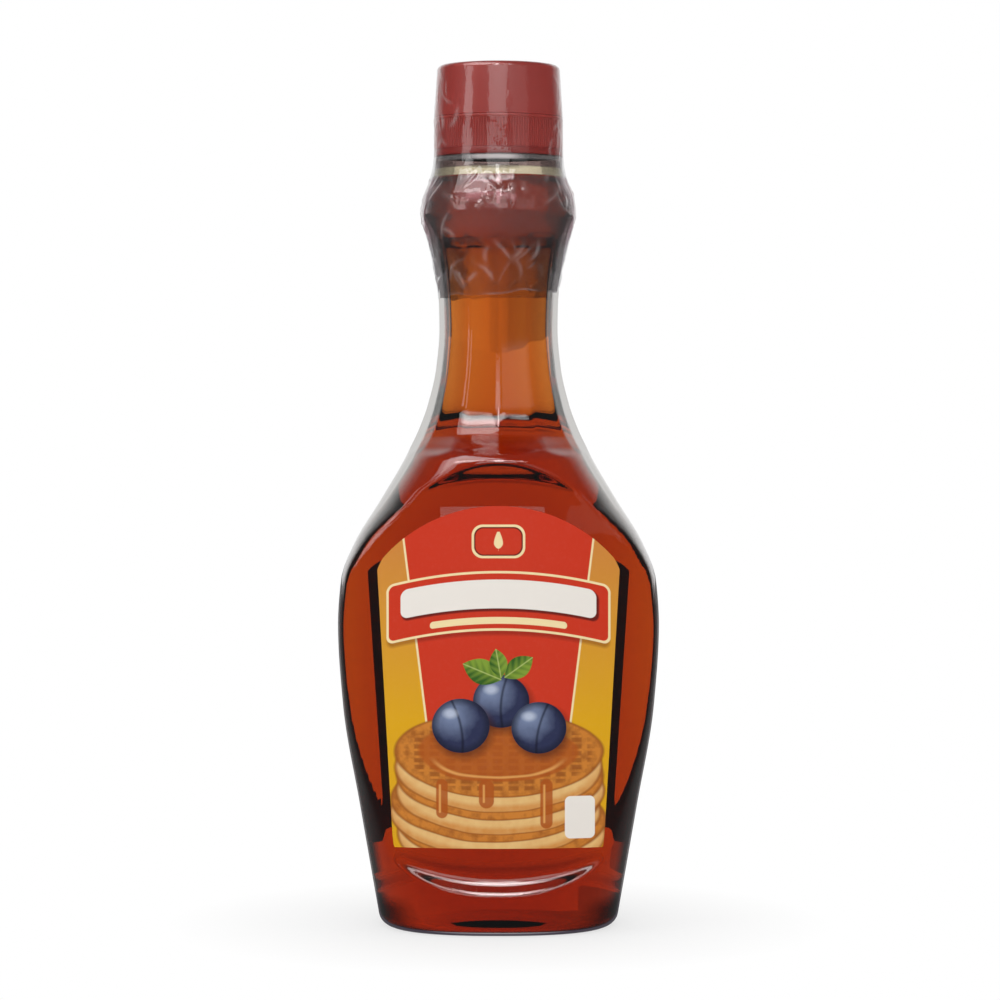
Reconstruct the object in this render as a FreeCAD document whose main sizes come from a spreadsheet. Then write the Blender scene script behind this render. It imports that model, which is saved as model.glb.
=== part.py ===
import FreeCAD, Part
import math
import os

from FreeCAD import Vector

# An upright bottle of pancake syrup: oval body with a recessed label panel front
# and back, faceted flare, round collar, two-part cap, and a shrunk clear film over
# the cap and collar. Millimetres. +Z up, origin under the middle of the foot, and
# the front faces -Y.

doc = FreeCAD.newDocument("syrup_bottle")
sheet = doc.addObject("Spreadsheet::Sheet", "Dimensions")

# ---------------------------------------------------------------- driving dimensions

DIMENSIONS = (
    ("body_height", 186.0, "floor to the foot of the collar"),
    ("body_half_width", 47.75, "widest half width, at the belly"),
    ("body_half_depth", 35.8, "deepest half depth, at the belly"),
    ("neck_radius", 17.7, "outside of the neck at its slimmest"),
    ("heel_radius", 3.2, "rounding of the bottle's foot"),
    ("base_wall", 0.9, "bottle wall under the syrup"),
    ("pushup_rise", 4.5, "height of the hollow under the base"),
    ("pushup_margin", 6.5, "standing ring outside that hollow"),
    ("panel_recess", 5.6, "label panel behind the deepest half depth"),
    ("panel_radius", 110.0, "the panel's curve in plan"),
    ("panel_wall", 0.5, "bottle wall behind the panel"),
    ("panel_foot", 16.0, "floor to the panel's lower ledge"),
    ("panel_drop", 52.6, "collar foot down to the panel's upper ledge"),
    ("lower_ledge_slope", 1.35, "fall of the lower ledge per unit of depth"),
    ("upper_ledge_slope", 1.25, "rise of the upper ledge per unit of depth"),
    ("ledge_reach", 12.0, "how far the ledges' cut runs either side of the panel"),
    ("facet_count", 12, "flats round the flare and neck"),
    ("finish_gap", 1.1, "mouth's outside under the neck radius"),
    ("finish_height", 10.3, "mouth above the collar's top"),
    ("finish_wall", 1.9, "wall of the mouth"),
    ("fill_drop", 6.3, "syrup level under the collar's top"),
    ("cap_clearance", 0.25, "cap's bore round the mouth"),
    ("cap_lift", 0.1, "cap's skirt above the collar's top"),
    ("cap_swell", 1.5, "cap's skirt outside the neck radius"),
    ("deck_thickness", 1.5, "cap's deck over the mouth"),
    ("lid_height", 15.5, "deck to the top of the lid"),
    ("lid_draft", 0.95, "lid's top slimmer than its foot"),
    ("lid_edge", 1.6, "rounding of the lid's top edge"),
    ("lid_wall", 1.3, "wall and top of the lid"),
    ("lid_inset", 0.1, "lid's foot inside the cap's skirt"),
    ("label_thickness", 0.12, "paper of both labels"),
    ("label_foot_margin", 9.7, "panel's lower ledge to the label"),
    ("label_top_margin", 7.7, "top of the arch to the panel's upper ledge"),
    ("label_side_margin", 12.2, "label's shoulders inside the widest half width"),
    ("label_taper", 4.7, "label's foot narrower than its shoulders, each side"),
    ("label_arch_drop", 17.5, "top of the arch down to the label's shoulders"),
    ("label_shoulder_radius", 6.0, "rounding of the label's shoulders"),
    ("label_corner_radius", 2.2, "rounding of the label's lower corners"),
    ("back_label_inset", 1.5, "back label smaller all round than the front one"),
    ("back_label_drop", 12.6, "back label's top below the front one's, over the inset"),
    ("back_label_arch_drop", 4.6, "top of the back label's arch down to its shoulders"),
    ("back_label_shoulder_radius", 14.0, "rounding of the back label's shoulders"),
    ("film_thickness", 0.12, "shrunk film"),
    ("film_gap", 0.03, "film clear of what it is shrunk on"),
    ("film_foot", 0.9, "film's lower edge above the collar foot"),
    ("film_fold", 2.6, "film folded over the lid's top"),
    ("film_grip", 1.2, "film straight from this far above the collar's top"),
)

# One row for each level of the body: name, rise (share of the body height), how far
# its half width and half depth run from the neck radius (0) to the belly's (1), how
# full the oval is (2 is an ellipse), and the wall there.
BODY_LEVELS = (
    ("floor", 0.0, 0.586, 0.800, 2.40, 0.5),
    ("low", 0.194, 0.789, 0.930, 3.00, 0.5),
    ("waist", 0.355, 0.952, 0.985, 3.60, 0.5),
    ("belly", 0.484, 1.000, 1.000, 3.80, 0.5),
    ("upper", 0.555, 0.970, 0.995, 3.80, 0.5),
    ("shoulder", 0.617, 0.829, 0.985, 3.30, 0.6),
    ("slope", 0.681, 0.589, 0.960, 2.60, 2.0),
    ("brow", 0.745, 0.355, 0.880, 2.30, 2.4),
    ("arch", 0.768, 0.284, 0.630, 2.20, 2.3),
    ("flare", 0.793, 0.210, 0.260, 2.10, 2.3),
    ("sweep", 0.835, 0.115, 0.095, 2.00, 2.1),
    ("throat", 0.893, 0.033, 0.028, 2.00, 1.7),
    ("neck", 0.957, 0.000, 0.003, 2.00, 1.6),
    ("collarfoot", 1.0, 0.005, 0.005, 2.00, 1.5),
)

# The many-sided cut that leaves the facets: level, its corners' half width and half
# depth over the body's own there.
FACET_LEVELS = (
    ("slope", 1.340, 1.750),
    ("brow", 1.085, 1.180),
    ("arch", 1.040, 1.020),
    ("flare", 1.022, 1.022),
    ("sweep", 1.018, 1.018),
    ("throat", 1.018, 1.018),
    ("neck", 1.018, 1.018),
    ("collarfoot", 1.018, 1.018),
    ("under", 1.018, 1.018),
    ("shelf", 1.018, 1.018),
)

# Collar and upper neck: name, rise over the collar foot, radius over the neck radius,
# and the wall there.
COLLAR_LEVELS = (
    ("root", 0.0, 0.15, 1.5),
    ("rise", 7.0, 0.75, 1.6),
    ("under", 14.0, 1.75, 1.6),
    ("shelf", 19.4, 2.8, 1.5),
    ("bulge", 22.5, 3.7, 1.2),
    ("crown", 26.5, 5.0, 0.7),
    ("over", 31.0, 4.1, 0.8),
    ("gather", 35.5, 2.1, 0.9),
    ("rim", 39.5, 1.4, 0.9),
    ("collartop", 43.0, 1.4, 4.2),
)

# The film's outside where it spans the hollows over and under the collar: name, rise
# over the collar foot, radius over the neck radius.
FILM_LEVELS = (
    ("cling", 3.5, 0.62),
    ("lower", 9.0, 1.5),
    ("tent", 17.0, 3.3),
    ("swell", 22.5, 4.8),
    ("crest", 26.5, 5.5),
    ("fall", 31.0, 4.9),
    ("dip", 36.0, 3.0),
    ("hem", 40.5, 1.95),
)

SECTION_POINTS = 32
SKIN_SECTIONS = 64
FACET_SECTIONS = 20
WIDE = 80.0  # half size of the blocks that only trim
TOUCH = 0.001  # lengths this near each other are the same


def put(alias, value, note=""):
    """Write one named value into the sheet's next free row."""
    put.row += 1
    sheet.set("A%d" % put.row, note or alias)
    sheet.set("B%d" % put.row, str(value))
    sheet.setAlias("B%d" % put.row, alias)


put.row = 0
for alias, value, note in DIMENSIONS:
    put(alias, value, note)
for name, rise, width, depth, fullness, wall in BODY_LEVELS:
    put(name + "_rise", rise)
    put(name + "_width", width)
    put(name + "_depth", depth)
    put(name + "_fullness", fullness)
    put(name + "_wall", wall)
for name, width, depth in FACET_LEVELS:
    put(name + "_facet_width", width)
    put(name + "_facet_depth", depth)
for name, rise, swell, wall in COLLAR_LEVELS:
    put(name + "_lift", rise)
    put(name + "_swell", swell)
    put(name + "_thickness", wall)
for name, rise, swell in FILM_LEVELS:
    put(name + "_lift", rise)
    put(name + "_swell", swell)
doc.recompute()


def size(alias):
    """Give a named value of the sheet as a number."""
    return float(sheet.get(alias))


# --------------------------------------------------------------------- small helpers


def bound(kind, name, **expressions):
    """Add an object and bind its sizes to the sheet."""
    made = doc.addObject(kind, name)
    for key, words in expressions.items():
        made.setExpression(key.replace("__", "."), words)
    return made


def shaped(name, shape):
    """Add a shape that no primitive or sketch gives."""
    made = doc.addObject("Part::Feature", name)
    made.Shape = shape
    return made


def boolean(kind, name, base, tool):
    """Add a cut or a common of two objects."""
    made = doc.addObject(kind, name)
    made.Base = base
    made.Tool = tool
    return made


def fused(name, *shapes):
    """Add a union."""
    made = doc.addObject("Part::MultiFuse", name)
    made.Shapes = list(shapes)
    made.Refine = True
    return made


def lofted(name, sections):
    """Add a closed smooth loft through closed wires."""
    made = doc.addObject("Part::Loft", name)
    made.Sections = sections
    made.Solid = True
    made.Ruled = False
    made.MaxDegree = 3
    return made


def revolved(name, face):
    """Turn a half profile once round the bottle's axis."""
    made = doc.addObject("Part::Revolution", name)
    made.Source = face
    made.Axis = Vector(0, 0, 1)
    made.Base = Vector(0, 0, 0)
    made.Angle = 360
    made.Solid = True
    return made


def column(levels, ending):
    """Give one column of a table of levels, as the sheet holds it."""
    return [size(row[0] + ending) for row in levels]


def eased(places, values, place):
    """Read a smooth line through a table's values that never overshoots them."""
    gaps = [after - before for before, after in zip(places, places[1:])]
    slopes = [(after - before) / gap for before, after, gap in zip(values, values[1:], gaps)]
    turns = [slopes[0]]
    for before, after, low_gap, high_gap in zip(slopes, slopes[1:], gaps, gaps[1:]):
        weight = (low_gap + 2 * high_gap, 2 * low_gap + high_gap)
        flat = before * after <= 0
        turns.append(0.0 if flat else sum(weight) / (weight[1] / before + weight[0] / after))
    turns.append(slopes[-1])
    span = max(index for index, start in enumerate(places[:-1]) if start <= place or index == 0)
    gap = gaps[span]
    share = (place - places[span]) / gap
    ahead = share * share * (3 - 2 * share)
    rise_in = share * (1 - share) ** 2
    rise_out = share * share * (share - 1)
    return (values[span] * (1 - ahead) + values[span + 1] * ahead
            + gap * (turns[span] * rise_in + turns[span + 1] * rise_out))


def level_height(name):
    """Give the height of a level of the body or of the collar."""
    if name in [row[0] for row in BODY_LEVELS]:
        return size(name + "_rise") * size("body_height")
    return size("body_height") + size(name + "_lift")


def skin_size(height):
    """Give the bottle's half width, half depth, fullness and wall at a height."""
    neck_radius = size("neck_radius")
    lift = height - size("body_height")
    if lift > 0:
        lifts = column(COLLAR_LEVELS, "_lift")
        radius = neck_radius + eased(lifts, column(COLLAR_LEVELS, "_swell"), lift)
        return radius, radius, 2.0, eased(lifts, column(COLLAR_LEVELS, "_thickness"), lift)
    rises = column(BODY_LEVELS, "_rise")
    width, depth, fullness, wall = [
        eased(rises, column(BODY_LEVELS, ending), height / size("body_height"))
        for ending in ("_width", "_depth", "_fullness", "_wall")]
    half_width = neck_radius + width * (size("body_half_width") - neck_radius)
    half_depth = neck_radius + depth * (size("body_half_depth") - neck_radius)
    return half_width, half_depth, fullness, wall


def oval(height, half_width, half_depth, fullness):
    """Draw one closed superellipse at a height."""
    points = []
    for step in range(SECTION_POINTS):
        angle = 2 * math.pi * step / SECTION_POINTS
        cosine, sine = math.cos(angle), math.sin(angle)
        across = abs(cosine / half_width) ** fullness
        along = abs(sine / half_depth) ** fullness
        reach = (across + along) ** (-1 / fullness)
        points.append(Vector(reach * cosine, reach * sine, height))
    curve = Part.BSplineCurve()
    steps = [float(step) for step in range(SECTION_POINTS + 1)]
    curve.interpolate(Points=points, PeriodicFlag=True, Parameters=steps)
    return curve


def skinned(ovals):
    """Close a smooth skin through evenly spaced ovals into a solid."""
    steps = [float(step) for step in range(len(ovals))]
    columns = []
    for poles in zip(*[curve.getPoles() for curve in ovals]):
        upright = Part.BSplineCurve()
        upright.interpolate(Points=list(poles), Parameters=steps)
        columns.append(upright)
    skin = Part.BSplineSurface()
    skin.buildFromPolesMultsKnots(
        [upright.getPoles() for upright in columns],
        ovals[0].getMultiplicities(), columns[0].getMultiplicities(),
        ovals[0].getKnots(), columns[0].getKnots(), True, False, ovals[0].Degree, columns[0].Degree)
    side = skin.toShape()
    ends = [edge for edge in side.Edges if edge.Closed and edge.BoundBox.ZLength < TOUCH]
    caps = [Part.Face(Part.Wire([edge])) for edge in ends]
    solid = Part.Solid(Part.Shell([side] + caps))
    solid.fix(1e-6, 1e-6, 1e-6)
    return solid


def many_sided(height, half_width, half_depth, count):
    """Draw one closed polygon at a height, with a corner at the front."""
    corners = []
    for step in range(count + 1):
        angle = 2 * math.pi * step / count - math.pi / 2
        corners.append(Vector(half_width * math.cos(angle), half_depth * math.sin(angle), height))
    return Part.makePolygon(corners)


def rounded_foot(name, skin, height, radius):
    """Round the lower edge of a skinned solid."""
    made = doc.addObject("Part::Fillet", name)
    made.Base = skin
    made.Edges = [(index, radius, radius) for index, edge in enumerate(skin.Shape.Edges, 1)
                  if edge.Closed and abs(edge.CenterOfMass.z - height) < TOUCH]
    return made


# ------------------------------------------------------------------ the bottle's body

body_height = size("body_height")
base_wall = size("base_wall")
collar_top = body_height + size("collartop_lift")
body_ovals = []
cavity_ovals = []
for step in range(SKIN_SECTIONS + 1):
    height = collar_top * step / SKIN_SECTIONS
    half_width, half_depth, fullness, wall = skin_size(height)
    body_ovals.append(oval(height, half_width, half_depth, fullness))
    height = base_wall + (collar_top - base_wall) * step / SKIN_SECTIONS
    half_width, half_depth, fullness, wall = skin_size(height)
    cavity_ovals.append(oval(height, half_width - wall, half_depth - wall, fullness))
body_skin = shaped("BodySkin", skinned(body_ovals))
cavity_skin = shaped("CavitySkin", skinned(cavity_ovals))
body_blank = rounded_foot("BodyBlank", body_skin, 0.0, size("heel_radius"))
cavity_blank = rounded_foot("CavityBlank", cavity_skin, base_wall, size("heel_radius"))

facet_heights = [level_height(name) for name, *_ in FACET_LEVELS]
facet_foot = facet_heights[0]
facet_sections = []
for step in range(FACET_SECTIONS + 1):
    height = facet_foot + (facet_heights[-1] - facet_foot) * step / FACET_SECTIONS
    half_width, half_depth, _, _ = skin_size(height)
    corner_width = half_width * eased(facet_heights, column(FACET_LEVELS, "_facet_width"), height)
    corner_depth = half_depth * eased(facet_heights, column(FACET_LEVELS, "_facet_depth"), height)
    ring = many_sided(height, corner_width, corner_depth, int(size("facet_count")))
    facet_sections.append(shaped("FacetSection%02d" % step, ring))
facet_core = lofted("FacetCore", facet_sections)
FACET_FOOT = "Dimensions.body_height * Dimensions.slope_rise"
facet_block = bound("Part::Cylinder", "FacetBlock", Placement__Base__z=FACET_FOOT,
                    Height="Dimensions.body_height + Dimensions.shelf_lift - " + FACET_FOOT)
facet_block.Radius = WIDE
facet_waste = boolean("Part::Cut", "FacetWaste", facet_block, facet_core)
faceted = boolean("Part::Cut", "FacetedBody", body_blank, facet_waste)


PANEL_FACE = "Dimensions.body_half_depth - Dimensions.panel_recess"


def panel_cut(name, wall_name=None):
    """Make what is cut away for the label panels, for one skin of the wall."""
    wall = size(wall_name) if wall_name else 0.0
    behind = " - Dimensions." + wall_name if wall_name else ""
    face = size("body_half_depth") - size("panel_recess") - wall
    low_slope = size("lower_ledge_slope")
    high_slope = size("upper_ledge_slope")
    low = size("panel_foot") - wall * (math.hypot(1, low_slope) - low_slope)
    high = body_height - size("panel_drop") + wall * (math.hypot(1, high_slope) - high_slope)
    reach = size("ledge_reach")
    corners = [
        Vector(-WIDE, -(face - reach), low + reach * low_slope),
        Vector(-WIDE, -(face + reach), low - reach * low_slope),
        Vector(-WIDE, -(face + reach), high + reach * high_slope),
        Vector(-WIDE, -(face - reach), high - reach * high_slope),
    ]
    outline = Part.Face(Part.makePolygon(corners + corners[:1]))
    wedge = shaped(name + "Wedge", outline.extrude(Vector(2 * WIDE, 0, 0)))
    drum = bound("Part::Cylinder", name + "Drum", Radius="Dimensions.panel_radius",
                 Height="Dimensions.body_height * 2",
                 Placement__Base__z="-Dimensions.body_height / 2",
                 Placement__Base__y="Dimensions.panel_radius - (" + PANEL_FACE + behind + ")")
    front = boolean("Part::Cut", name + "Front", wedge, drum)
    back = doc.addObject("Part::Mirroring", name + "Back")
    back.Source = front
    back.Normal = Vector(0, 1, 0)
    back.Base = Vector(0, 0, 0)
    return front, back


outer_front, outer_back = panel_cut("Panel")
inner_front, inner_back = panel_cut("PanelCavity", "panel_wall")
panelled = boolean("Part::Cut", "PanelledFront", faceted, outer_front)
panelled = boolean("Part::Cut", "PanelledBody", panelled, outer_back)
cavity = boolean("Part::Cut", "CavityFront", cavity_blank, inner_front)
cavity = boolean("Part::Cut", "CavityBody", cavity, inner_back)

# The hollow under the base, and the same a wall higher inside.
NECK = "Dimensions.neck_radius"
PUSHUP_WIDTH = (NECK + " + Dimensions.floor_width * (Dimensions.body_half_width - " + NECK
                + ") - Dimensions.pushup_margin")
PUSHUP_DEPTH = (NECK + " + Dimensions.floor_depth * (Dimensions.body_half_depth - " + NECK
                + ") - Dimensions.pushup_margin")
BASE_WALL = " + Dimensions.base_wall"
pushup = bound("Part::Ellipsoid", "PushUp", Radius1="Dimensions.pushup_rise",
               Radius2=PUSHUP_WIDTH, Radius3=PUSHUP_DEPTH)
pushup_skin = bound("Part::Ellipsoid", "PushUpSkin", Radius1="Dimensions.pushup_rise" + BASE_WALL,
                    Radius2=PUSHUP_WIDTH + BASE_WALL, Radius3=PUSHUP_DEPTH + BASE_WALL)

# -------------------------------------------------------------------------- the mouth

MOUTH_RADIUS = "Dimensions.neck_radius - Dimensions.finish_gap"
COLLAR_TOP = "Dimensions.body_height + Dimensions.collartop_lift"
mouth = bound("Part::Cylinder", "Mouth", Radius=MOUTH_RADIUS,
              Height="Dimensions.finish_height + Dimensions.finish_wall",
              Placement__Base__z=COLLAR_TOP + " - Dimensions.finish_wall")
mouth_bore = bound("Part::Cylinder", "MouthBore", Radius=MOUTH_RADIUS + " - Dimensions.finish_wall",
                   Height="Dimensions.finish_height + Dimensions.finish_wall",
                   Placement__Base__z=COLLAR_TOP + " - Dimensions.finish_wall")

outside = fused("BottleOutside", panelled, mouth)
outside = boolean("Part::Cut", "BottleFoot", outside, pushup)
inside = boolean("Part::Cut", "InsideFoot", cavity, pushup_skin)

bottle = boolean("Part::Cut", "BottleHollow", outside, inside)
bottle = boolean("Part::Cut", "BottleMouth", bottle, mouth_bore)
bottle.Label = "bottle"

# ------------------------------------------------------------------------- the syrup

fill_block = bound("Part::Cylinder", "FillBlock",
                   Height=COLLAR_TOP + " - Dimensions.fill_drop")
fill_block.Radius = WIDE
syrup = boolean("Part::Common", "SyrupFill", inside, fill_block)
syrup.Label = "syrup"

# --------------------------------------------------------------------------- the cap

CAP_FOOT = COLLAR_TOP + " + Dimensions.cap_lift"
DECK = COLLAR_TOP + " + Dimensions.finish_height"
CAP_RADIUS = "Dimensions.neck_radius + Dimensions.cap_swell"
LID_RADIUS = CAP_RADIUS + " - Dimensions.lid_inset"

skirt = bound("Part::Cylinder", "CapSkirt", Radius=CAP_RADIUS,
              Height="Dimensions.finish_height + Dimensions.deck_thickness - Dimensions.cap_lift",
              Placement__Base__z=CAP_FOOT)
cap_bore = bound("Part::Cylinder", "CapBore", Radius=MOUTH_RADIUS + " + Dimensions.cap_clearance",
                 Height="Dimensions.finish_height - Dimensions.cap_lift",
                 Placement__Base__z=CAP_FOOT)
cap_base = boolean("Part::Cut", "CapBase", skirt, cap_bore)
cap_base.Label = "cap_base"

LID_FOOT = DECK + " + Dimensions.deck_thickness"
lid_block = bound("Part::Cone", "LidBlock", Radius1=LID_RADIUS,
                  Radius2=LID_RADIUS + " - Dimensions.lid_draft",
                  Height="Dimensions.lid_height", Placement__Base__z=LID_FOOT)
doc.recompute()
lid_top = collar_top + size("finish_height") + size("deck_thickness") + size("lid_height")
rim = [index for index, edge in enumerate(lid_block.Shape.Edges, 1)
       if edge.Closed and abs(edge.CenterOfMass.z - lid_top) < TOUCH]
lid_round = doc.addObject("Part::Fillet", "LidRound")
lid_round.Base = lid_block
lid_round.Edges = [(index, size("lid_edge"), size("lid_edge")) for index in rim]
lid_hollow = bound("Part::Cone", "LidHollow", Radius1=LID_RADIUS + " - Dimensions.lid_wall",
                   Radius2=LID_RADIUS + " - Dimensions.lid_draft - Dimensions.lid_wall",
                   Height="Dimensions.lid_height - Dimensions.lid_wall", Placement__Base__z=LID_FOOT)
cap_lid = boolean("Part::Cut", "CapLid", lid_round, lid_hollow)
cap_lid.Label = "cap_lid"

# ------------------------------------------------------------------------ the labels


def label_outline(inset, drop, arch_drop):
    """Draw a label: an arched top, shoulders and a slightly narrower foot."""
    low = size("panel_foot") + size("label_foot_margin") + inset
    high = body_height - size("panel_drop") - size("label_top_margin") - inset - drop
    top_half = size("body_half_width") - size("label_side_margin") - inset
    foot_half = top_half - size("label_taper")
    shoulder = high - arch_drop
    corners = [Vector(-foot_half, 0, low), Vector(foot_half, 0, low), Vector(top_half, 0, shoulder)]
    arch = Part.Arc(corners[2], Vector(0, 0, high), Vector(-top_half, 0, shoulder))
    edges = [
        Part.makeLine(corners[0], corners[1]),
        Part.makeLine(corners[1], corners[2]),
        arch.toShape(),
        Part.makeLine(Vector(-top_half, 0, shoulder), corners[0]),
    ]
    return Part.Wire(edges)


def uprights_rounded(block, depth, low, high, radius):
    """Round a block's edges that run its whole depth and lie between two heights."""
    edges = [edge for edge in block.Edges
             if abs(edge.BoundBox.YLength - depth) < TOUCH and low < edge.CenterOfMass.z < high]
    return block.makeFillet(radius, edges)


def label(name, facing, outline, shoulder_radius):
    """Make one label: its outline pushed through a thin curved skin on the panel."""
    depth = size("body_half_depth") * 2
    panel_top = body_height - size("panel_drop")
    middle = (size("panel_foot") + panel_top) / 2
    block = Part.Face(outline).extrude(Vector(0, facing * depth, 0))
    block = uprights_rounded(block, depth, middle, panel_top, shoulder_radius)
    block = uprights_rounded(block, depth, 0.0, middle, size("label_corner_radius"))
    cookie = shaped(name + "Cookie", block)
    skins = []
    for part, extra in (("Outer", " + Dimensions.label_thickness"), ("Inner", "")):
        skins.append(bound(
            "Part::Cylinder", name + part, Radius="Dimensions.panel_radius" + extra,
            Height="Dimensions.body_height",
            Placement__Base__y="%d * (%s - Dimensions.panel_radius)" % (facing, PANEL_FACE)))
    shell = boolean("Part::Cut", name + "Skin", *skins)
    made = boolean("Part::Common", name + "Paper", shell, cookie)
    made.Label = name
    return made


front_outline = label_outline(0.0, 0.0, size("label_arch_drop"))
back_outline = label_outline(
    size("back_label_inset"), size("back_label_drop"), size("back_label_arch_drop"))
label_front = label("label_front", -1, front_outline, size("label_shoulder_radius"))
label_back = label("label_back", 1, back_outline, size("back_label_shoulder_radius"))

# -------------------------------------------------------------------- the shrunk film


def turned_edge(radius, top, rounding):
    """Draw the quarter round from an upright wall onto a level top."""
    diagonal = rounding * (1 - math.sqrt(0.5))
    return Part.Arc(
        Vector(radius, 0, top - rounding),
        Vector(radius - diagonal, 0, top - diagonal),
        Vector(radius - rounding, 0, top)).toShape()


def film_face():
    """Draw the film's section: up the neck and collar, up the cap, over its top edge."""
    thickness = size("film_thickness")
    gap = size("film_gap")
    neck = size("neck_radius")
    low = body_height + size("film_foot")
    skirt_radius = neck + size("cap_swell") + gap + thickness
    edge = size("lid_edge") + gap + thickness
    top = lid_top + gap + thickness
    draft = size("lid_draft") * (1 - size("lid_edge") / size("lid_height"))
    wall_radius = skirt_radius - size("lid_inset") - draft
    profile = [(skin_size(low)[0] + gap + thickness, low)]
    profile += [(neck + size(name + "_swell"), body_height + size(name + "_lift"))
                for name, *_ in FILM_LEVELS]
    profile.append((skirt_radius, collar_top + size("film_grip")))
    lines = []
    ends = []
    for inward in (0.0, thickness):
        curve = Part.BSplineCurve()
        curve.interpolate(Points=[Vector(radius - inward, 0, height) for radius, height in profile])
        grip = Vector(skirt_radius - inward, 0, collar_top + size("film_grip"))
        skirt_top = Vector(skirt_radius - inward, 0, lid_top - size("lid_height"))
        wall_top = Vector(wall_radius - inward, 0, top - edge)
        fold = Vector(wall_radius - edge, 0, top - inward)
        end = fold - Vector(size("film_fold"), 0, 0)
        lines += [
            curve.toShape(),
            Part.makeLine(grip, skirt_top),
            Part.makeLine(skirt_top, wall_top),
            turned_edge(wall_radius - inward, top - inward, edge - inward),
            Part.makeLine(fold, end),
        ]
        ends.append((Vector(profile[0][0] - inward, 0, low), end))
    lines += [Part.makeLine(outer, inner) for outer, inner in zip(*ends)]
    return Part.Face(Part.Wire(Part.__sortEdges__(lines)))


shrink_film = revolved("Film", shaped("FilmLine", film_face()))
shrink_film.Label = "shrink_film"

# ------------------------------------------------------------------- check and write

NODES = (bottle, syrup, cap_base, cap_lid, label_front, label_back, shrink_film)

doc.recompute()
for item in doc.Objects:
    failed = [state for state in item.State if state in ("Invalid", "Error")]
    if failed:
        raise RuntimeError("%s is %s" % (item.Label, failed))

os.makedirs("parts", exist_ok=True)
for node in NODES:
    shape = node.Shape
    if shape.isNull() or not shape.isValid() or len(shape.Solids) != 1:
        raise RuntimeError("%s: null %s, solids %d" % (node.Label, shape.isNull(), len(shape.Solids)))
    shape.exportStep(os.path.join("parts", node.Label + ".step"))
    box = shape.BoundBox
    print("%-12s %10.1f mm3  z %.2f to %.2f  x %.2f  y %.2f" % (
        node.Label, shape.Volume, box.ZMin, box.ZMax, box.XLength, box.YLength))
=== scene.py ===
"""Looks of an upright bottle of pancake syrup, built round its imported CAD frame.

Sizes in the classes are millimetres, and every mesh is written in metres in the
frame of the CAD model: +Z up, the front facing -Y, the origin under the foot.
"""

import logging
import math
from dataclasses import dataclass, field
from enum import Enum
from typing import Any, Callable, Iterable, Sequence

import bmesh
import bpy
import numpy as np
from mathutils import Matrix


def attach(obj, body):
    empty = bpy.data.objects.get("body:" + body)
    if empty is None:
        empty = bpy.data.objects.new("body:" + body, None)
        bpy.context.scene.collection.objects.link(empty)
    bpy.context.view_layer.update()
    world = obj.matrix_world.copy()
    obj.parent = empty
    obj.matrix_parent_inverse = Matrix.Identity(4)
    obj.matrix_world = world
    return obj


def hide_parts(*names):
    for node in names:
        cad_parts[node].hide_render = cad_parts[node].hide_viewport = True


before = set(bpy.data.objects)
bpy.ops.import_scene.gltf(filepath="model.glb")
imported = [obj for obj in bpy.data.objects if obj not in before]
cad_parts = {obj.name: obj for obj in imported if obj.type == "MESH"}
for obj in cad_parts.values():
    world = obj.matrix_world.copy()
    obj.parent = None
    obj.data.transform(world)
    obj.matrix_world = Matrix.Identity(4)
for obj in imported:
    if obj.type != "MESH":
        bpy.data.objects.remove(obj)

LOG = logging.getLogger("syrup_bottle")
MM = 0.001
TURN = 2 * math.pi
Colour = tuple[float, float, float, float]


def paint(red: float, green: float, blue: float) -> Colour:
    """Turn a colour of 0 to 255 per channel into the linear colour that shaders take.

    Args:
        red: the red channel.
        green: the green channel.
        blue: the blue channel.

    Returns:
        Linear red, green, blue and an alpha of 1.
    """
    linear = []
    for channel in (red, green, blue):
        share = channel / 255
        linear.append(share / 12.92 if share <= 0.04045 else ((share + 0.055) / 1.055) ** 2.4)
    return (linear[0], linear[1], linear[2], 1.0)


# ------------------------------------------------------------------ shader expressions


class Sock:
    """A node's output, which plain arithmetic can be written with."""

    def __init__(self, dress: "Dress", socket: bpy.types.NodeSocket) -> None:
        """Wrap one output socket of a node tree."""
        self.dress = dress
        self.socket = socket

    def math(self, operation: str, *others: Any) -> "Sock":
        """Add one Math node on this value and others."""
        return self.dress.math(operation, self, *others)

    def __add__(self, other: Any) -> "Sock":
        """Add."""
        return self.math("ADD", other)

    __radd__ = __add__

    def __sub__(self, other: Any) -> "Sock":
        """Take away."""
        return self.math("SUBTRACT", other)

    def __rsub__(self, other: Any) -> "Sock":
        """Take this away from a number."""
        return self.dress.math("SUBTRACT", other, self)

    def __mul__(self, other: Any) -> "Sock":
        """Multiply."""
        return self.math("MULTIPLY", other)

    __rmul__ = __mul__

    def __truediv__(self, other: Any) -> "Sock":
        """Divide."""
        return self.math("DIVIDE", other)

    def __rtruediv__(self, other: Any) -> "Sock":
        """Divide a number by this."""
        return self.dress.math("DIVIDE", other, self)

    def __pow__(self, other: Any) -> "Sock":
        """Raise to a power."""
        return self.math("POWER", other)

    def __neg__(self) -> "Sock":
        """Turn the sign."""
        return self * -1.0

    def __abs__(self) -> "Sock":
        """Drop the sign."""
        return self.math("ABSOLUTE")


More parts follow.
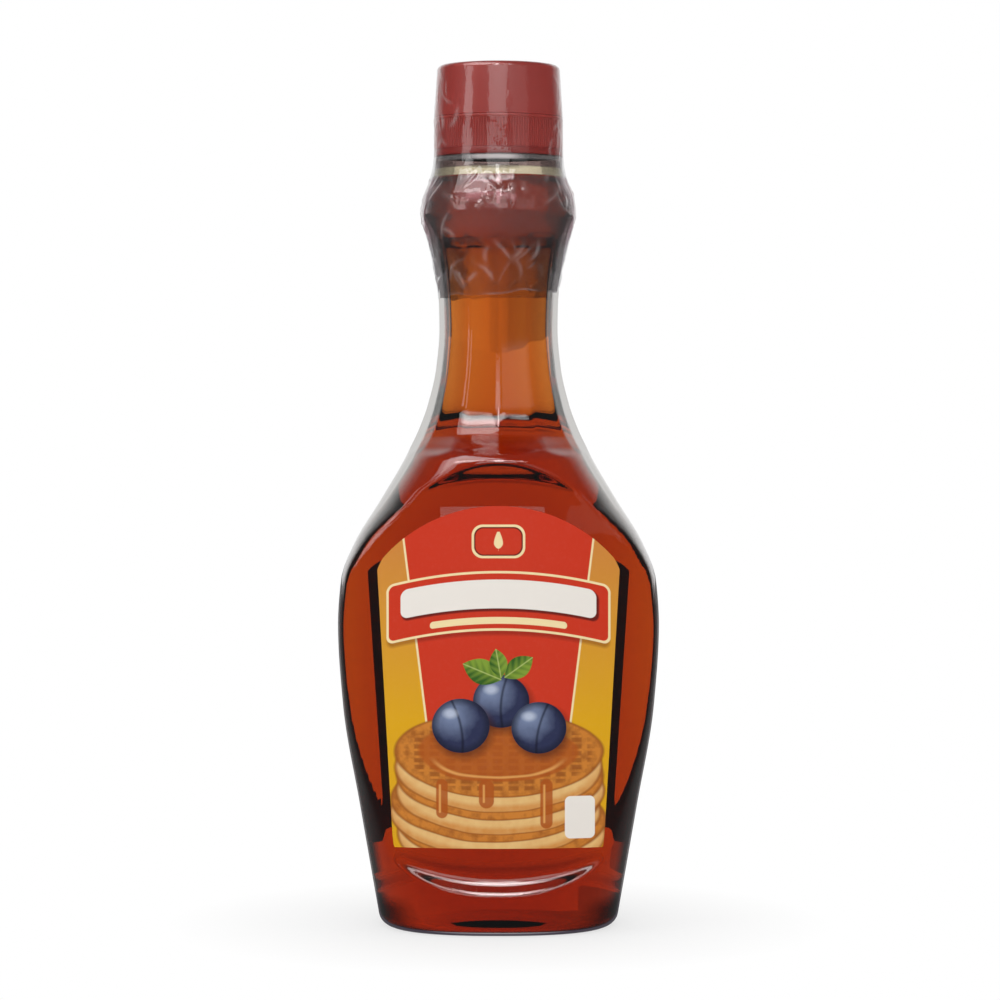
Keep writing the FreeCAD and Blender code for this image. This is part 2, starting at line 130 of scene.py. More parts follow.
class Dress:
    """Builds the nodes of one material or of the world."""

    def __init__(self, owner: Any) -> None:
        """Empty the owner's node tree.

        Args:
            owner: a material or a world.
        """
        owner.use_nodes = True
        self.owner = owner
        self.tree = owner.node_tree
        self.tree.nodes.clear()

    def node(self, kind: str, settings: dict[str, Any] | None = None,
             inputs: dict[str | int, Any] | None = None) -> bpy.types.Node:
        """Add any node.

        Args:
            kind: the node's type.
            settings: its settings, set first; "stops" holds a ramp's positions and colours.
            inputs: values or links for its sockets, by name or by number.

        Returns:
            The new node.
        """
        made = self.tree.nodes.new(kind)
        for key, value in (settings or {}).items():
            if key == "stops":
                stops = made.color_ramp.elements
                while len(stops) < len(value):
                    stops.new(1.0)
                for stop, (place, colour) in zip(stops, value):
                    stop.position = place
                    stop.color = colour
            else:
                setattr(made, key, value)
        for key, value in (inputs or {}).items():
            if isinstance(value, Sock):
                self.tree.links.new(value.socket, made.inputs[key])
            else:
                made.inputs[key].default_value = value
        return made

    def out(self, kind: str, settings: dict[str, Any] | None = None,
            inputs: dict[str | int, Any] | None = None, output: str | int = 0) -> Sock:
        """Add a node and give one of its outputs."""
        return Sock(self, self.node(kind, settings, inputs).outputs[output])

    def math(self, operation: str, *values: Any) -> Sock:
        """Add one Math node on values or sockets."""
        return self.out("ShaderNodeMath", {"operation": operation}, dict(enumerate(values)))

    def clamped(self, value: Sock) -> Sock:
        """Hold a value between 0 and 1."""
        return self.out("ShaderNodeClamp", None, {"Value": value})

    def inside(self, value: Sock, limit: Any, soft: float) -> Sock:
        """Give 1 where a value is under a limit, 0 over it, with a soft edge between."""
        return self.clamped((limit - value) / soft + 0.5)

    def least(self, *values: Any) -> Sock:
        """Give the least of some values."""
        low = values[0]
        for value in values[1:]:
            low = self.math("MINIMUM", low, value)
        return low

    def most(self, *values: Any) -> Sock:
        """Give the greatest of some values."""
        high = values[0]
        for value in values[1:]:
            high = self.math("MAXIMUM", high, value)
        return high

    def over(self, under: Any, top: Any, mask: Any) -> Sock:
        """Lay one colour over another by a mask."""
        return self.out("ShaderNodeMix", {"data_type": "RGBA"}, {0: mask, 6: under, 7: top}, 2)

    def place(self) -> tuple[Sock, Sock, Sock]:
        """Give a point's place on its own object, in millimetres."""
        coordinates = self.out("ShaderNodeTexCoord", output="Object")
        parts = self.node("ShaderNodeSeparateXYZ", None, {0: coordinates})
        x, y, z = (Sock(self, output) * (1 / MM) for output in parts.outputs)
        return x, y, z

    def noise(self, scale: float, detail: float = 2.0, roughness: float = 0.5,
              stretch: tuple[float, float, float] = (1.0, 1.0, 1.0), output: str = "Fac") -> Sock:
        """Add noise on the piece's own coordinates.

        Args:
            scale: cells to the metre.
            detail: how many finer layers it has.
            roughness: how strong those layers are.
            stretch: its scale along each axis.
            output: "Fac" or "Color".

        Returns:
            The noise, round 0.5.
        """
        coordinates = self.out("ShaderNodeTexCoord", output="Object")
        stretched = self.out("ShaderNodeMapping", None, {"Vector": coordinates, "Scale": stretch})
        return self.out("ShaderNodeTexNoise", None,
                        {"Vector": stretched, "Scale": scale, "Detail": detail, "Roughness": roughness},
                        output)

    def bump(self, height: Sock, strength: float, distance: float) -> Sock:
        """Turn a height into a normal."""
        return self.out("ShaderNodeBump", None,
                        {"Height": height, "Strength": strength, "Distance": distance})

    def finish(self, surface: Sock, volume: Sock | None = None) -> Any:
        """Wire the output and give the owner back."""
        for_world = isinstance(self.owner, bpy.types.World)
        kind = "ShaderNodeOutputWorld" if for_world else "ShaderNodeOutputMaterial"
        inputs = {"Surface": surface}
        if volume is not None:
            inputs["Volume"] = volume
        self.node(kind, None, inputs)
        return self.owner


def new_dress(name: str) -> Dress:
    """Start a new material."""
    return Dress(bpy.data.materials.new(name))


# --------------------------------------------------------------------- mesh helpers


def piece_of(name: str, vertices: np.ndarray, faces: Iterable[Sequence[int]],
             materials: Sequence[bpy.types.Material], slots: Sequence[int] | None = None) -> bpy.types.Object:
    """Make a smooth-shaded mesh object from millimetre points.

    Args:
        name: the piece's name.
        vertices: an N by 3 array of points in millimetres.
        faces: the corners of each face.
        materials: the piece's materials.
        slots: the material number of each face, or nothing for the first.

    Returns:
        The new object, at the origin.
    """
    mesh = bpy.data.meshes.new(name)
    mesh.from_pydata((vertices * MM).tolist(), [], list(faces))
    for material in materials:
        mesh.materials.append(material)
    if slots is not None:
        mesh.polygons.foreach_set("material_index", list(slots))
    mesh.polygons.foreach_set("use_smooth", [True] * len(mesh.polygons))
    mesh.update()
    made = bpy.data.objects.new(name, mesh)
    bpy.context.scene.collection.objects.link(made)
    return made


def ring_faces(rings: int, around: int, start_pole: bool, end_pole: bool) -> list[tuple[int, ...]]:
    """List the faces of a skin through rings of points, with a pole at either end.

    Args:
        rings: how many rings there are.
        around: how many points each ring has.
        start_pole: whether one more point closes the first ring.
        end_pole: whether one more point closes the last ring.

    Returns:
        The faces, wound so that rings that rise round the axis face outwards.
    """
    faces: list[tuple[int, ...]] = []
    for row in range(rings - 1):
        low, high = row * around, (row + 1) * around
        for step in range(around):
            after = (step + 1) % around
            faces.append((low + step, low + after, high + after, high + step))
    pole = rings * around
    if start_pole:
        faces += [(pole, (step + 1) % around, step) for step in range(around)]
        pole += 1
    if end_pole:
        last = (rings - 1) * around
        faces += [(pole, last + step, last + (step + 1) % around) for step in range(around)]
    return faces


def ring_piece(name: str, rings: np.ndarray, materials: Sequence[bpy.types.Material],
               start: float | None = None, end: float | None = None,
               slot_rows: Callable[[int], int] | None = None) -> bpy.types.Object:
    """Make a piece from rings of points round the axis.

    Args:
        name: the piece's name.
        rings: a rings by points by 3 array in millimetres.
        materials: the piece's materials.
        start: the height of the pole that closes the first ring, or nothing.
        end: the height of the pole that closes the last ring, or nothing.
        slot_rows: gives the material number of a row of faces.

    Returns:
        The new object.
    """
    count, around = rings.shape[:2]
    poles = [(0.0, 0.0, height) for height in (start, end) if height is not None]
    vertices = np.concatenate([rings.reshape(-1, 3)] + ([np.array(poles)] if poles else []))
    faces = ring_faces(count, around, start is not None, end is not None)
    slots = None
    if slot_rows is not None:
        slots = [slot_rows(row) for row in range(count - 1) for _ in range(around)]
        slots += [slot_rows(0)] * (around if start is not None else 0)
        slots += [slot_rows(count - 2)] * (around if end is not None else 0)
    return piece_of(name, vertices, faces, materials, slots)


def turned(name: str, profile: Sequence[tuple[float, float]], around: int,
           materials: Sequence[bpy.types.Material]) -> bpy.types.Object:
    """Turn a closed profile of radius and height round the axis.

    Args:
        name: the piece's name.
        profile: radius and height of each point; it starts and ends on the axis.
        around: how many points each ring has.
        materials: the piece's materials.

    Returns:
        The new closed object.
    """
    angles = np.arange(around) * TURN / around
    rings = np.array([[(radius * math.cos(angle), radius * math.sin(angle), height) for angle in angles]
                      for radius, height in profile[1:-1]])
    return ring_piece(name, rings, materials, profile[0][1], profile[-1][1])


def rounded(corner: tuple[float, float], before: tuple[float, float], after: tuple[float, float],
            radius: float, steps: int = 6) -> list[tuple[float, float]]:
    """Round one corner of a profile.

    Args:
        corner: the sharp corner.
        before: a point on the line that comes to it.
        after: a point on the line that leaves it.
        radius: how far from the corner the rounding starts on each line.
        steps: how many spans the rounding has.

    Returns:
        The points of the rounding.
    """
    here, back, ahead = (np.array(point, float) for point in (corner, before, after))
    start = here + (back - here) / np.linalg.norm(back - here) * radius
    stop = here + (ahead - here) / np.linalg.norm(ahead - here) * radius
    made = []
    for step in range(steps + 1):
        share = step / steps
        point = (1 - share) ** 2 * start + 2 * share * (1 - share) * here + share ** 2 * stop
        made.append((float(point[0]), float(point[1])))
    return made


def eased(places: Sequence[float], values: Sequence[float], at: np.ndarray) -> np.ndarray:
    """Read a smooth line through a few values that never overshoots them.

    Args:
        places: where the values stand, rising.
        values: the values.
        at: where to read the line.

    Returns:
        The line's value at each place asked for.
    """
    x, y = np.asarray(places, float), np.asarray(values, float)
    gaps = np.diff(x)
    slopes = np.diff(y) / gaps
    turns = [slopes[0]]
    for before, after, low, high in zip(slopes, slopes[1:], gaps, gaps[1:]):
        first, second = low + 2 * high, 2 * low + high
        turns.append(0.0 if before * after <= 0 else (first + second) / (second / before + first / after))
    turns = np.array(turns + [slopes[-1]])
    at = np.clip(np.asarray(at, float), x[0], x[-1])
    span = np.clip(np.searchsorted(x, at, side="right") - 1, 0, len(gaps) - 1)
    share = (at - x[span]) / gaps[span]
    ahead = share * share * (3 - 2 * share)
    return (y[span] * (1 - ahead) + y[span + 1] * ahead
            + gaps[span] * (turns[span] * share * (1 - share) ** 2
                            + turns[span + 1] * share * share * (share - 1)))


def soft_least(first: np.ndarray, second: np.ndarray, soft: float) -> np.ndarray:
    """Take the lesser of two surfaces, rounded where they cross."""
    near = np.clip(soft - np.abs(first - second), 0, None) / soft
    return np.minimum(first, second) - near * near * soft / 4


def soft_most(first: np.ndarray, second: np.ndarray, soft: float) -> np.ndarray:
    """Take the greater of two surfaces, rounded where they cross."""
    return -soft_least(-first, -second, soft)


def spaced(*spans: tuple[float, float, float]) -> np.ndarray:
    """List heights through spans of start, end and step, without repeats."""
    heights: list[float] = []
    for start, end, step in spans:
        count = max(1, round((end - start) / step))
        heights += [start + (end - start) * index / count for index in range(count)]
    heights.append(spans[-1][1])
    return np.array(heights)


# ----------------------------------------------------------------- the bottle's skin


@dataclass(frozen=True)
class Skin:
    """The bottle's outer shape: how far it reaches from its axis at an angle and a height.

    Rows of body: rise (share of the body's height), share of the half width and half
    depth from the neck's radius to the belly's, how full the oval is, and the wall.
    Rows of collar: lift over the body, radius over the neck's, and the wall.
    Rows of facets: height, then the flats' corners over the skin's own size.
    """

    body_height: float = 186.0
    half_width: float = 47.75
    half_depth: float = 35.8
    neck_radius: float = 17.7
    heel: float = 3.2
    panel_face: float = 30.2
    panel_radius: float = 110.0
    panel_low: float = 16.0
    panel_high: float = 133.4
    low_slope: float = 1.35
    high_slope: float = 1.25
    facet_top: float = 205.4
    facet_count: int = 12
    edge: float = 0.7
    crease: float = 1.0
    body: tuple = (
        (0.0, 0.586, 0.800, 2.40, 0.5), (0.194, 0.789, 0.930, 3.00, 0.5),
        (0.355, 0.952, 0.985, 3.60, 0.5), (0.484, 1.0, 1.0, 3.80, 0.5),
        (0.555, 0.970, 0.995, 3.80, 0.5), (0.617, 0.829, 0.985, 3.30, 0.6),
        (0.681, 0.589, 0.960, 2.60, 2.0), (0.745, 0.355, 0.880, 2.30, 2.4),
        (0.768, 0.284, 0.630, 2.20, 2.3), (0.793, 0.210, 0.260, 2.10, 2.3),
        (0.835, 0.115, 0.095, 2.0, 2.1), (0.893, 0.033, 0.028, 2.0, 1.7),
        (0.957, 0.0, 0.003, 2.0, 1.6), (1.0, 0.005, 0.005, 2.0, 1.5))
    collar: tuple = (
        (0.0, 0.15, 1.5), (7.0, 0.75, 1.6), (14.0, 1.75, 1.6), (19.4, 2.8, 1.5),
        (22.5, 3.7, 1.2), (26.5, 5.0, 0.7), (31.0, 4.1, 0.8), (35.5, 2.1, 0.9),
        (39.5, 1.4, 0.9), (43.0, 1.4, 0.9))
    facets: tuple = (
        (126.7, 1.340, 1.750), (138.6, 1.085, 1.180), (142.8, 1.030, 1.020),
        (147.5, 1.012, 1.012), (155.3, 1.008, 1.008), (205.4, 1.008, 1.008))

    def levels(self, heights: np.ndarray) -> tuple[np.ndarray, ...]:
        """Give half width, half depth, fullness and wall at each height."""
        rises = [row[0] for row in self.body]
        lifts = [row[0] for row in self.collar]
        width, depth, fullness, wall = (
            eased(rises, [row[index] for row in self.body], heights / self.body_height)
            for index in (1, 2, 3, 4))
        lift = heights - self.body_height
        swell, collar_wall = (eased(lifts, [row[index] for row in self.collar], lift) for index in (1, 2))
        above = lift > 0
        return (
            np.where(above, self.neck_radius + swell,
                     self.neck_radius + width * (self.half_width - self.neck_radius)),
            np.where(above, self.neck_radius + swell,
                     self.neck_radius + depth * (self.half_depth - self.neck_radius)),
            np.where(above, 2.0, fullness),
            np.where(above, collar_wall, wall))

    def reach(self, angles: np.ndarray, heights: np.ndarray) -> np.ndarray:
        """Give the distance from the axis to the skin.

        Args:
            angles: the angles round the axis, 0 towards +X.
            heights: the heights.

        Returns:
            An array of one row for each height and one column for each angle.
        """
        half_width, half_depth, fullness, _ = (level[:, None] for level in self.levels(heights))
        cosine, sine = np.cos(angles)[None, :], np.sin(angles)[None, :]
        height = heights[:, None]
        oval = ((np.abs(cosine) / half_width) ** fullness
                + (np.abs(sine) / half_depth) ** fullness) ** (-1 / fullness)
        places = [row[0] for row in self.facets]
        across = cosine / (half_width * eased(places, [row[1] for row in self.facets], heights)[:, None])
        along = sine / (half_depth * eased(places, [row[2] for row in self.facets], heights)[:, None])
        sector = TURN / self.facet_count
        from_flat = (np.arctan2(along, across) + math.pi / 2) % sector - sector / 2
        flats = math.cos(sector / 2) / np.cos(from_flat) / np.hypot(across, along)
        faded = np.clip((self.facet_top - height) / 0.7, 0, 1) * np.clip((height - places[0]) / 2.0, 0, 1)
        reached = oval + (soft_least(oval, flats, 0.25) - oval) * faded
        slant = np.maximum(np.abs(sine), 1e-4)
        centre = self.panel_radius - self.panel_face
        panel = -centre * slant + np.sqrt((centre * slant) ** 2 + self.panel_radius ** 2 - centre ** 2)
        low = (self.panel_face + (self.panel_low - height) / self.low_slope) / slant
        high = (self.panel_face + (height - self.panel_high) / self.high_slope) / slant
        panelled = soft_most(soft_most(panel, low, self.crease), high, self.crease)
        return soft_least(reached, panelled, self.edge)

    def rings(self, angles: np.ndarray, heights: np.ndarray, inset: float = 0.0, walled: bool = False,
              foot: float = 0.0) -> np.ndarray:
        """Give rings of points on the skin, or inside it.

        Args:
            angles: the angles of each ring.
            heights: the height of each ring.
            inset: how far inside the skin, or inside the wall, the points lie.
            walled: whether the wall's thickness is taken off too.
            foot: the height of the foot, from which the heel's rounding starts.

        Returns:
            A heights by angles by 3 array.
        """
        reach = self.reach(angles, heights) - inset
        if walled:
            reach -= self.levels(heights)[3][:, None]
        rise = np.clip(heights - foot, 0, self.heel)
        reach -= (self.heel - np.sqrt(self.heel ** 2 - (self.heel - rise) ** 2))[:, None]
        return np.stack([reach * np.cos(angles), reach * np.sin(angles),
                         np.broadcast_to(heights[:, None], reach.shape)], axis=-1)

    def panel_depth(self, across: float, proud: float) -> float:
        """Give how far in front of the axis the label panel lies at a distance from its middle."""
        return self.panel_face - self.panel_radius + math.sqrt((self.panel_radius + proud) ** 2 - across ** 2)


def heel_heights(foot: float, heel: float, steps: int) -> list[float]:
    """Space the heights of a heel's rounding evenly round its quarter circle."""
    return [foot + heel * (1 - math.cos(math.pi / 2 * step / steps)) for step in range(steps)]


def dome_rings(outline: np.ndarray, foot: float, rise: float, shrink: float, steps: int) -> np.ndarray:
    """Give the rings of a shallow dome inside a ring, from its middle outwards.

    Args:
        outline: the ring of points round the standing foot.
        foot: the foot's height.
        rise: how high the dome stands over the foot at its middle.
        shrink: how wide the flat ring round the dome is.
        steps: how many rings the dome has.

    Returns:
        The rings, from the one nearest the middle to the dome's own edge.
    """
    reach = np.hypot(outline[:, 0], outline[:, 1])[:, None]
    way = outline[:, :2] / reach
    rings = []
    for step in range(1, steps + 1):
        share = math.sin(math.pi / 2 * step / steps)
        height = foot + rise * math.sqrt(max(0.0, 1 - share * share))
        flat = way * (reach - shrink) * share
        rings.append(np.concatenate([flat, np.full((len(flat), 1), height)], axis=1))
    return np.array(rings)


# ------------------------------------------------------------------------- finishes


@dataclass(frozen=True)
class ClearWall:
    """Clear, colourless blown plastic, seen through rather than refracting, with painted shade: greyer
    towards its outline, darker at the heel's corners and in a band under the cap.
    """

    ior: float = 1.5
    # Painted shade: greys that the wall turns towards its outline, one for above the outline shade low height
    # and one for below it.
    outline_shade: Colour = (0.42, 0.40, 0.38, 1.0)
    body_outline_shade: Colour = (0.24, 0.21, 0.22, 1.0)
    # Painted shade: a darker mauve band on the wall under the cap, where the shaded inside of the cap shows
    # through.
    cap_shade: Colour = (0.27, 0.18, 0.17, 1.0)
    gap: Colour = (0.68, 0.59, 0.42, 1.0)
    # Painted shade: the grey that darkens the heel's corners, up to the heel shade top height.
    corner: Colour = (0.28, 0.25, 0.30, 1.0)
    through: Colour = (0.985, 0.985, 0.975, 1.0)
    roughness: float = 0.07
    cap_shade_low: float = 225.4
    gap_low: float = 222.9
    outline_shade_low: float = 116.0
    heel_shade_top: float = 11.0

    def build(self) -> bpy.types.Material:
        """Give the outside's material."""
        dress = new_dress("clear_wall")
        facing = dress.out("ShaderNodeLayerWeight", None, {"Blend": 0.5}, "Facing")
        front = 1.0 - dress.out("ShaderNodeNewGeometry", output="Backfacing")
        plain = dress.out("ShaderNodeBsdfTransparent", None, {"Color": self.through})
        # Painted shade: the wall greys where it is seen edge-on, standing in for the darkness that refraction
        # shows at the outline.
        edge = dress.out("ShaderNodeBsdfTransparent", None, {"Color": self.outline_shade})
        height = dress.place()[2]
        low_outline_shade = dress.out("ShaderNodeBsdfTransparent", None, {"Color": self.body_outline_shade})
        upper = dress.out("ShaderNodeMixShader", None, {0: facing ** 2.0, 1: plain, 2: edge})
        lower = dress.out("ShaderNodeMixShader", None, {0: facing ** 5.0, 1: plain, 2: low_outline_shade})
        # Painted shade: near the floor, the wall's outline turns darker still.
        heel = dress.clamped((facing - 0.18) / 0.3) * dress.clamped((self.heel_shade_top - height) / 4.0)
        heel_shade = dress.out("ShaderNodeBsdfTransparent", None, {"Color": self.corner})
        lower = dress.out("ShaderNodeMixShader", None, {0: heel, 1: lower, 2: heel_shade})
        seen = dress.out("ShaderNodeMixShader", None, {
            0: dress.clamped((height - self.outline_shade_low) / 12.0 + 0.5), 1: lower, 2: upper})
        # A cream band tints the headspace over the syrup. Above it, the painted shade under the cap darkens
        # the wall.
        for low, colour in ((self.gap_low, self.gap), (self.cap_shade_low, self.cap_shade)):
            band = dress.out("ShaderNodeBsdfTransparent", None, {"Color": colour})
            seen = dress.out("ShaderNodeMixShader", None, {
                0: dress.clamped((height - low) / 0.5 + 0.5) * front, 1: seen, 2: band})
        wave = dress.bump(dress.noise(60.0, 1.0), 0.12, 0.001)
        gloss = dress.out("ShaderNodeBsdfAnisotropic", None,
                          {"Color": (1.0, 1.0, 1.0, 1.0), "Roughness": self.roughness, "Normal": wave})
        shine = dress.out("ShaderNodeFresnel", None, {"IOR": self.ior}) * front
        return dress.finish(dress.out("ShaderNodeMixShader", None, {0: shine, 1: seen, 2: gloss}))

    def build_inside(self) -> bpy.types.Material:
        """Give the inside's material, which the syrup wets."""
        dress = new_dress("clear_wall_inside")
        return dress.finish(dress.out("ShaderNodeBsdfTransparent", None, {"Color": self.through}))


@dataclass(frozen=True)
class Syrup:
    """Amber pancake syrup: clear, and darker the deeper it is looked through."""

    ior: float = 1.46
    density: float = 150.0
    tint: Colour = (0.870, 0.533, 0.0, 1.0)

    def build(self) -> bpy.types.Material:
        """Give the material, with its colour in its depth."""
        dress = new_dress("syrup")
        surface = dress.out("ShaderNodeBsdfPrincipled", None, {
            "Base Color": (1.0, 1.0, 1.0, 1.0), "Roughness": 0.0, "IOR": self.ior,
            "Transmission Weight": 1.0})
        depth = dress.out("ShaderNodeVolumeAbsorption", None, {"Color": self.tint, "Density": self.density})
        return dress.finish(surface, depth)


@dataclass(frozen=True)
class CapPlastic:
    """Red moulded plastic with a soft satin shine, painted a deeper red round the skirt's foot as shade."""

    colour: Colour = paint(180, 66, 58)
    deep: Colour = paint(167, 57, 51)
    # Painted shade: the deeper red laid below the foot shade top height, at the skirt's foot.
    band: Colour = paint(150, 42, 36)
    foot_shade_top: float = 231.3
    roughness: float = 0.34

    def build(self) -> bpy.types.Material:
        """Give the material."""
        dress = new_dress("cap_plastic")
        cloud = dress.noise(90.0, 3.0)
        # Painted shade: the skirt's foot turns a deeper red.
        low = dress.inside(dress.place()[2], self.foot_shade_top, 0.6)
        colour = dress.over(dress.over(self.deep, self.colour, cloud), self.band, low)
        grain = dress.noise(2600.0, 2.0)
        return dress.finish(dress.out("ShaderNodeBsdfPrincipled", None, {
            "Base Color": colour,
            "Roughness": self.roughness - 0.05 + cloud * 0.1,
            "Normal": dress.bump(grain, 0.15, 0.0002),
            "Specular IOR Level": 0.5}))


@dataclass(frozen=True)
class ShrunkFilm:
    """Thin clear film, creased where it shrank and cloudier where it is gathered, with painted highlights:
    whitened creases and a whitened line under the cap's edge.
    """

    ior: float = 1.45
    through: Colour = (0.98, 0.98, 0.98, 1.0)
    gathered: Colour = (0.79, 0.77, 0.79, 1.0)
    mauve: Colour = (0.68, 0.52, 0.56, 1.0)
    # Painted shade: the grey the film turns towards its outline, where it is seen edge-on.
    edge: Colour = (0.66, 0.66, 0.67, 1.0)
    # A pale colour used both for the film's hazing and for its painted highlights.
    haze_and_glint: Colour = (0.88, 0.80, 0.80, 1.0)
    brim: float = 222.7
    # Painted highlight: the height and half width of the whitened line under the cap's edge.
    glint_line_height: float = 228.1
    glint_line_half: float = 7.0
    collar_low: float = 205.0

    def build(self) -> bpy.types.Material:
        """Give the material."""
        dress = new_dress("shrunk_film")
        height = dress.place()[2]
        facing = dress.out("ShaderNodeLayerWeight", None, {"Blend": 0.5}, "Facing")
        plain, gathered, mauve, edge = (dress.out("ShaderNodeBsdfTransparent", None, {"Color": colour})
                                        for colour in (self.through, self.gathered, self.mauve, self.edge))
        below = dress.clamped((self.brim - height) / 0.8 + 0.5)
        collar = dress.clamped((height - self.collar_low) / 6.0 + 0.5)
        drawn = dress.out("ShaderNodeMixShader", None, {0: collar, 1: gathered, 2: mauve})
        face = dress.out("ShaderNodeMixShader", None, {0: below, 1: plain, 2: drawn})
        # Painted shade: the film greys towards its outline.
        seen = dress.out("ShaderNodeMixShader", None, {0: facing ** 4.0, 1: face, 2: edge})
        wrinkle = dress.noise(220.0, 3.0, 0.55, (1.0, 1.0, 0.6))
        wave = dress.bump(wrinkle, 0.22, 0.0010)
        # Painted highlight: the crease attribute tells how white each crease is painted.
        crease = dress.out("ShaderNodeAttribute", {"attribute_name": "crease"}, output="Fac")
        # Painted highlight: a whitened line just under the cap's edge.
        glint_line = dress.inside(abs(height - self.glint_line_height), 0.65, 0.6)
        # Painted highlight: the line is whitest at the front, round x = -1 mm.
        lit = dress.inside(abs(dress.place()[0] + 1.0), self.glint_line_half, 4.0)
        veil = collar * below * 0.035 + below * 0.01
        # The white diffuse is mixed in for the film's hazing, and as painted highlights on the creases and
        # under the cap.
        haze_and_glint_share = dress.clamped(crease * (0.02 + wrinkle * 0.26) + glint_line * (0.12 + lit * 0.40) + veil)
        haze_and_glint = dress.out("ShaderNodeBsdfDiffuse", None, {"Color": self.haze_and_glint, "Normal": wave})
        skin = dress.out("ShaderNodeMixShader", None, {0: haze_and_glint_share, 1: seen, 2: haze_and_glint})
        gloss = dress.out("ShaderNodeBsdfAnisotropic", None,
                          {"Color": (1.0, 1.0, 1.0, 1.0), "Roughness": 0.06, "Normal": wave})
        shine = dress.out("ShaderNodeFresnel", None, {"IOR": self.ior, "Normal": wave}) * 1.3
        return dress.finish(dress.out("ShaderNodeMixShader", None, {
            0: dress.least(shine, 0.6), 1: skin, 2: gloss}))


# ------------------------------------------------------------------------ the print


class Print:
    """Lays plain shapes of colour over each other in a label's own coordinates."""

    def __init__(self, dress: Dress, ground: Any) -> None:
        """Start from a ground colour."""
        self.dress = dress
        self.x, _, self.z = dress.place()
        self.colour = ground

    def lay(self, colour: Any, mask: Sock) -> None:
        """Lay one colour over what is there."""
        self.colour = self.dress.over(self.colour, colour, mask)

    def oval(self, x: float, z: float, half_x: float, half_z: float) -> Sock:
        """Give the distance from an oval's middle, 1 at its edge."""
        across, up = (self.x - x) / half_x, (self.z - z) / half_z
        return self.dress.math("SQRT", across * across + up * up)

    def disc(self, x: float, z: float, half_x: float, half_z: float, soft: float = 0.15) -> Sock:
        """Give the mask of an oval with an edge of soft millimetres."""
        return self.dress.inside(self.oval(x, z, half_x, half_z), 1.0, soft / min(half_x, half_z))

    def plate(self, x: float, z: Any, half_x: float, half_z: float, corner: float,
              soft: float = 0.15) -> Sock:
        """Give the mask of a rectangle with rounded corners; its middle's height may vary."""
        dress = self.dress
        out_x = dress.most(abs(self.x - x) - (half_x - corner), 0.0)
        out_z = dress.most(abs(self.z - z) - (half_z - corner), 0.0)
        return dress.inside(dress.math("SQRT", out_x * out_x + out_z * out_z), corner, soft)


@dataclass(frozen=True)
class Plum:
    """One round dark plum of the print, with the way its cleft leans."""

    x: float
    z: float
    radius: float
    lean: float


@dataclass(frozen=True)
class Leaf:
    """One leaf of the print: where it starts, how long it is and which way it points."""

    x: float
    z: float
    length: float
    turn: float


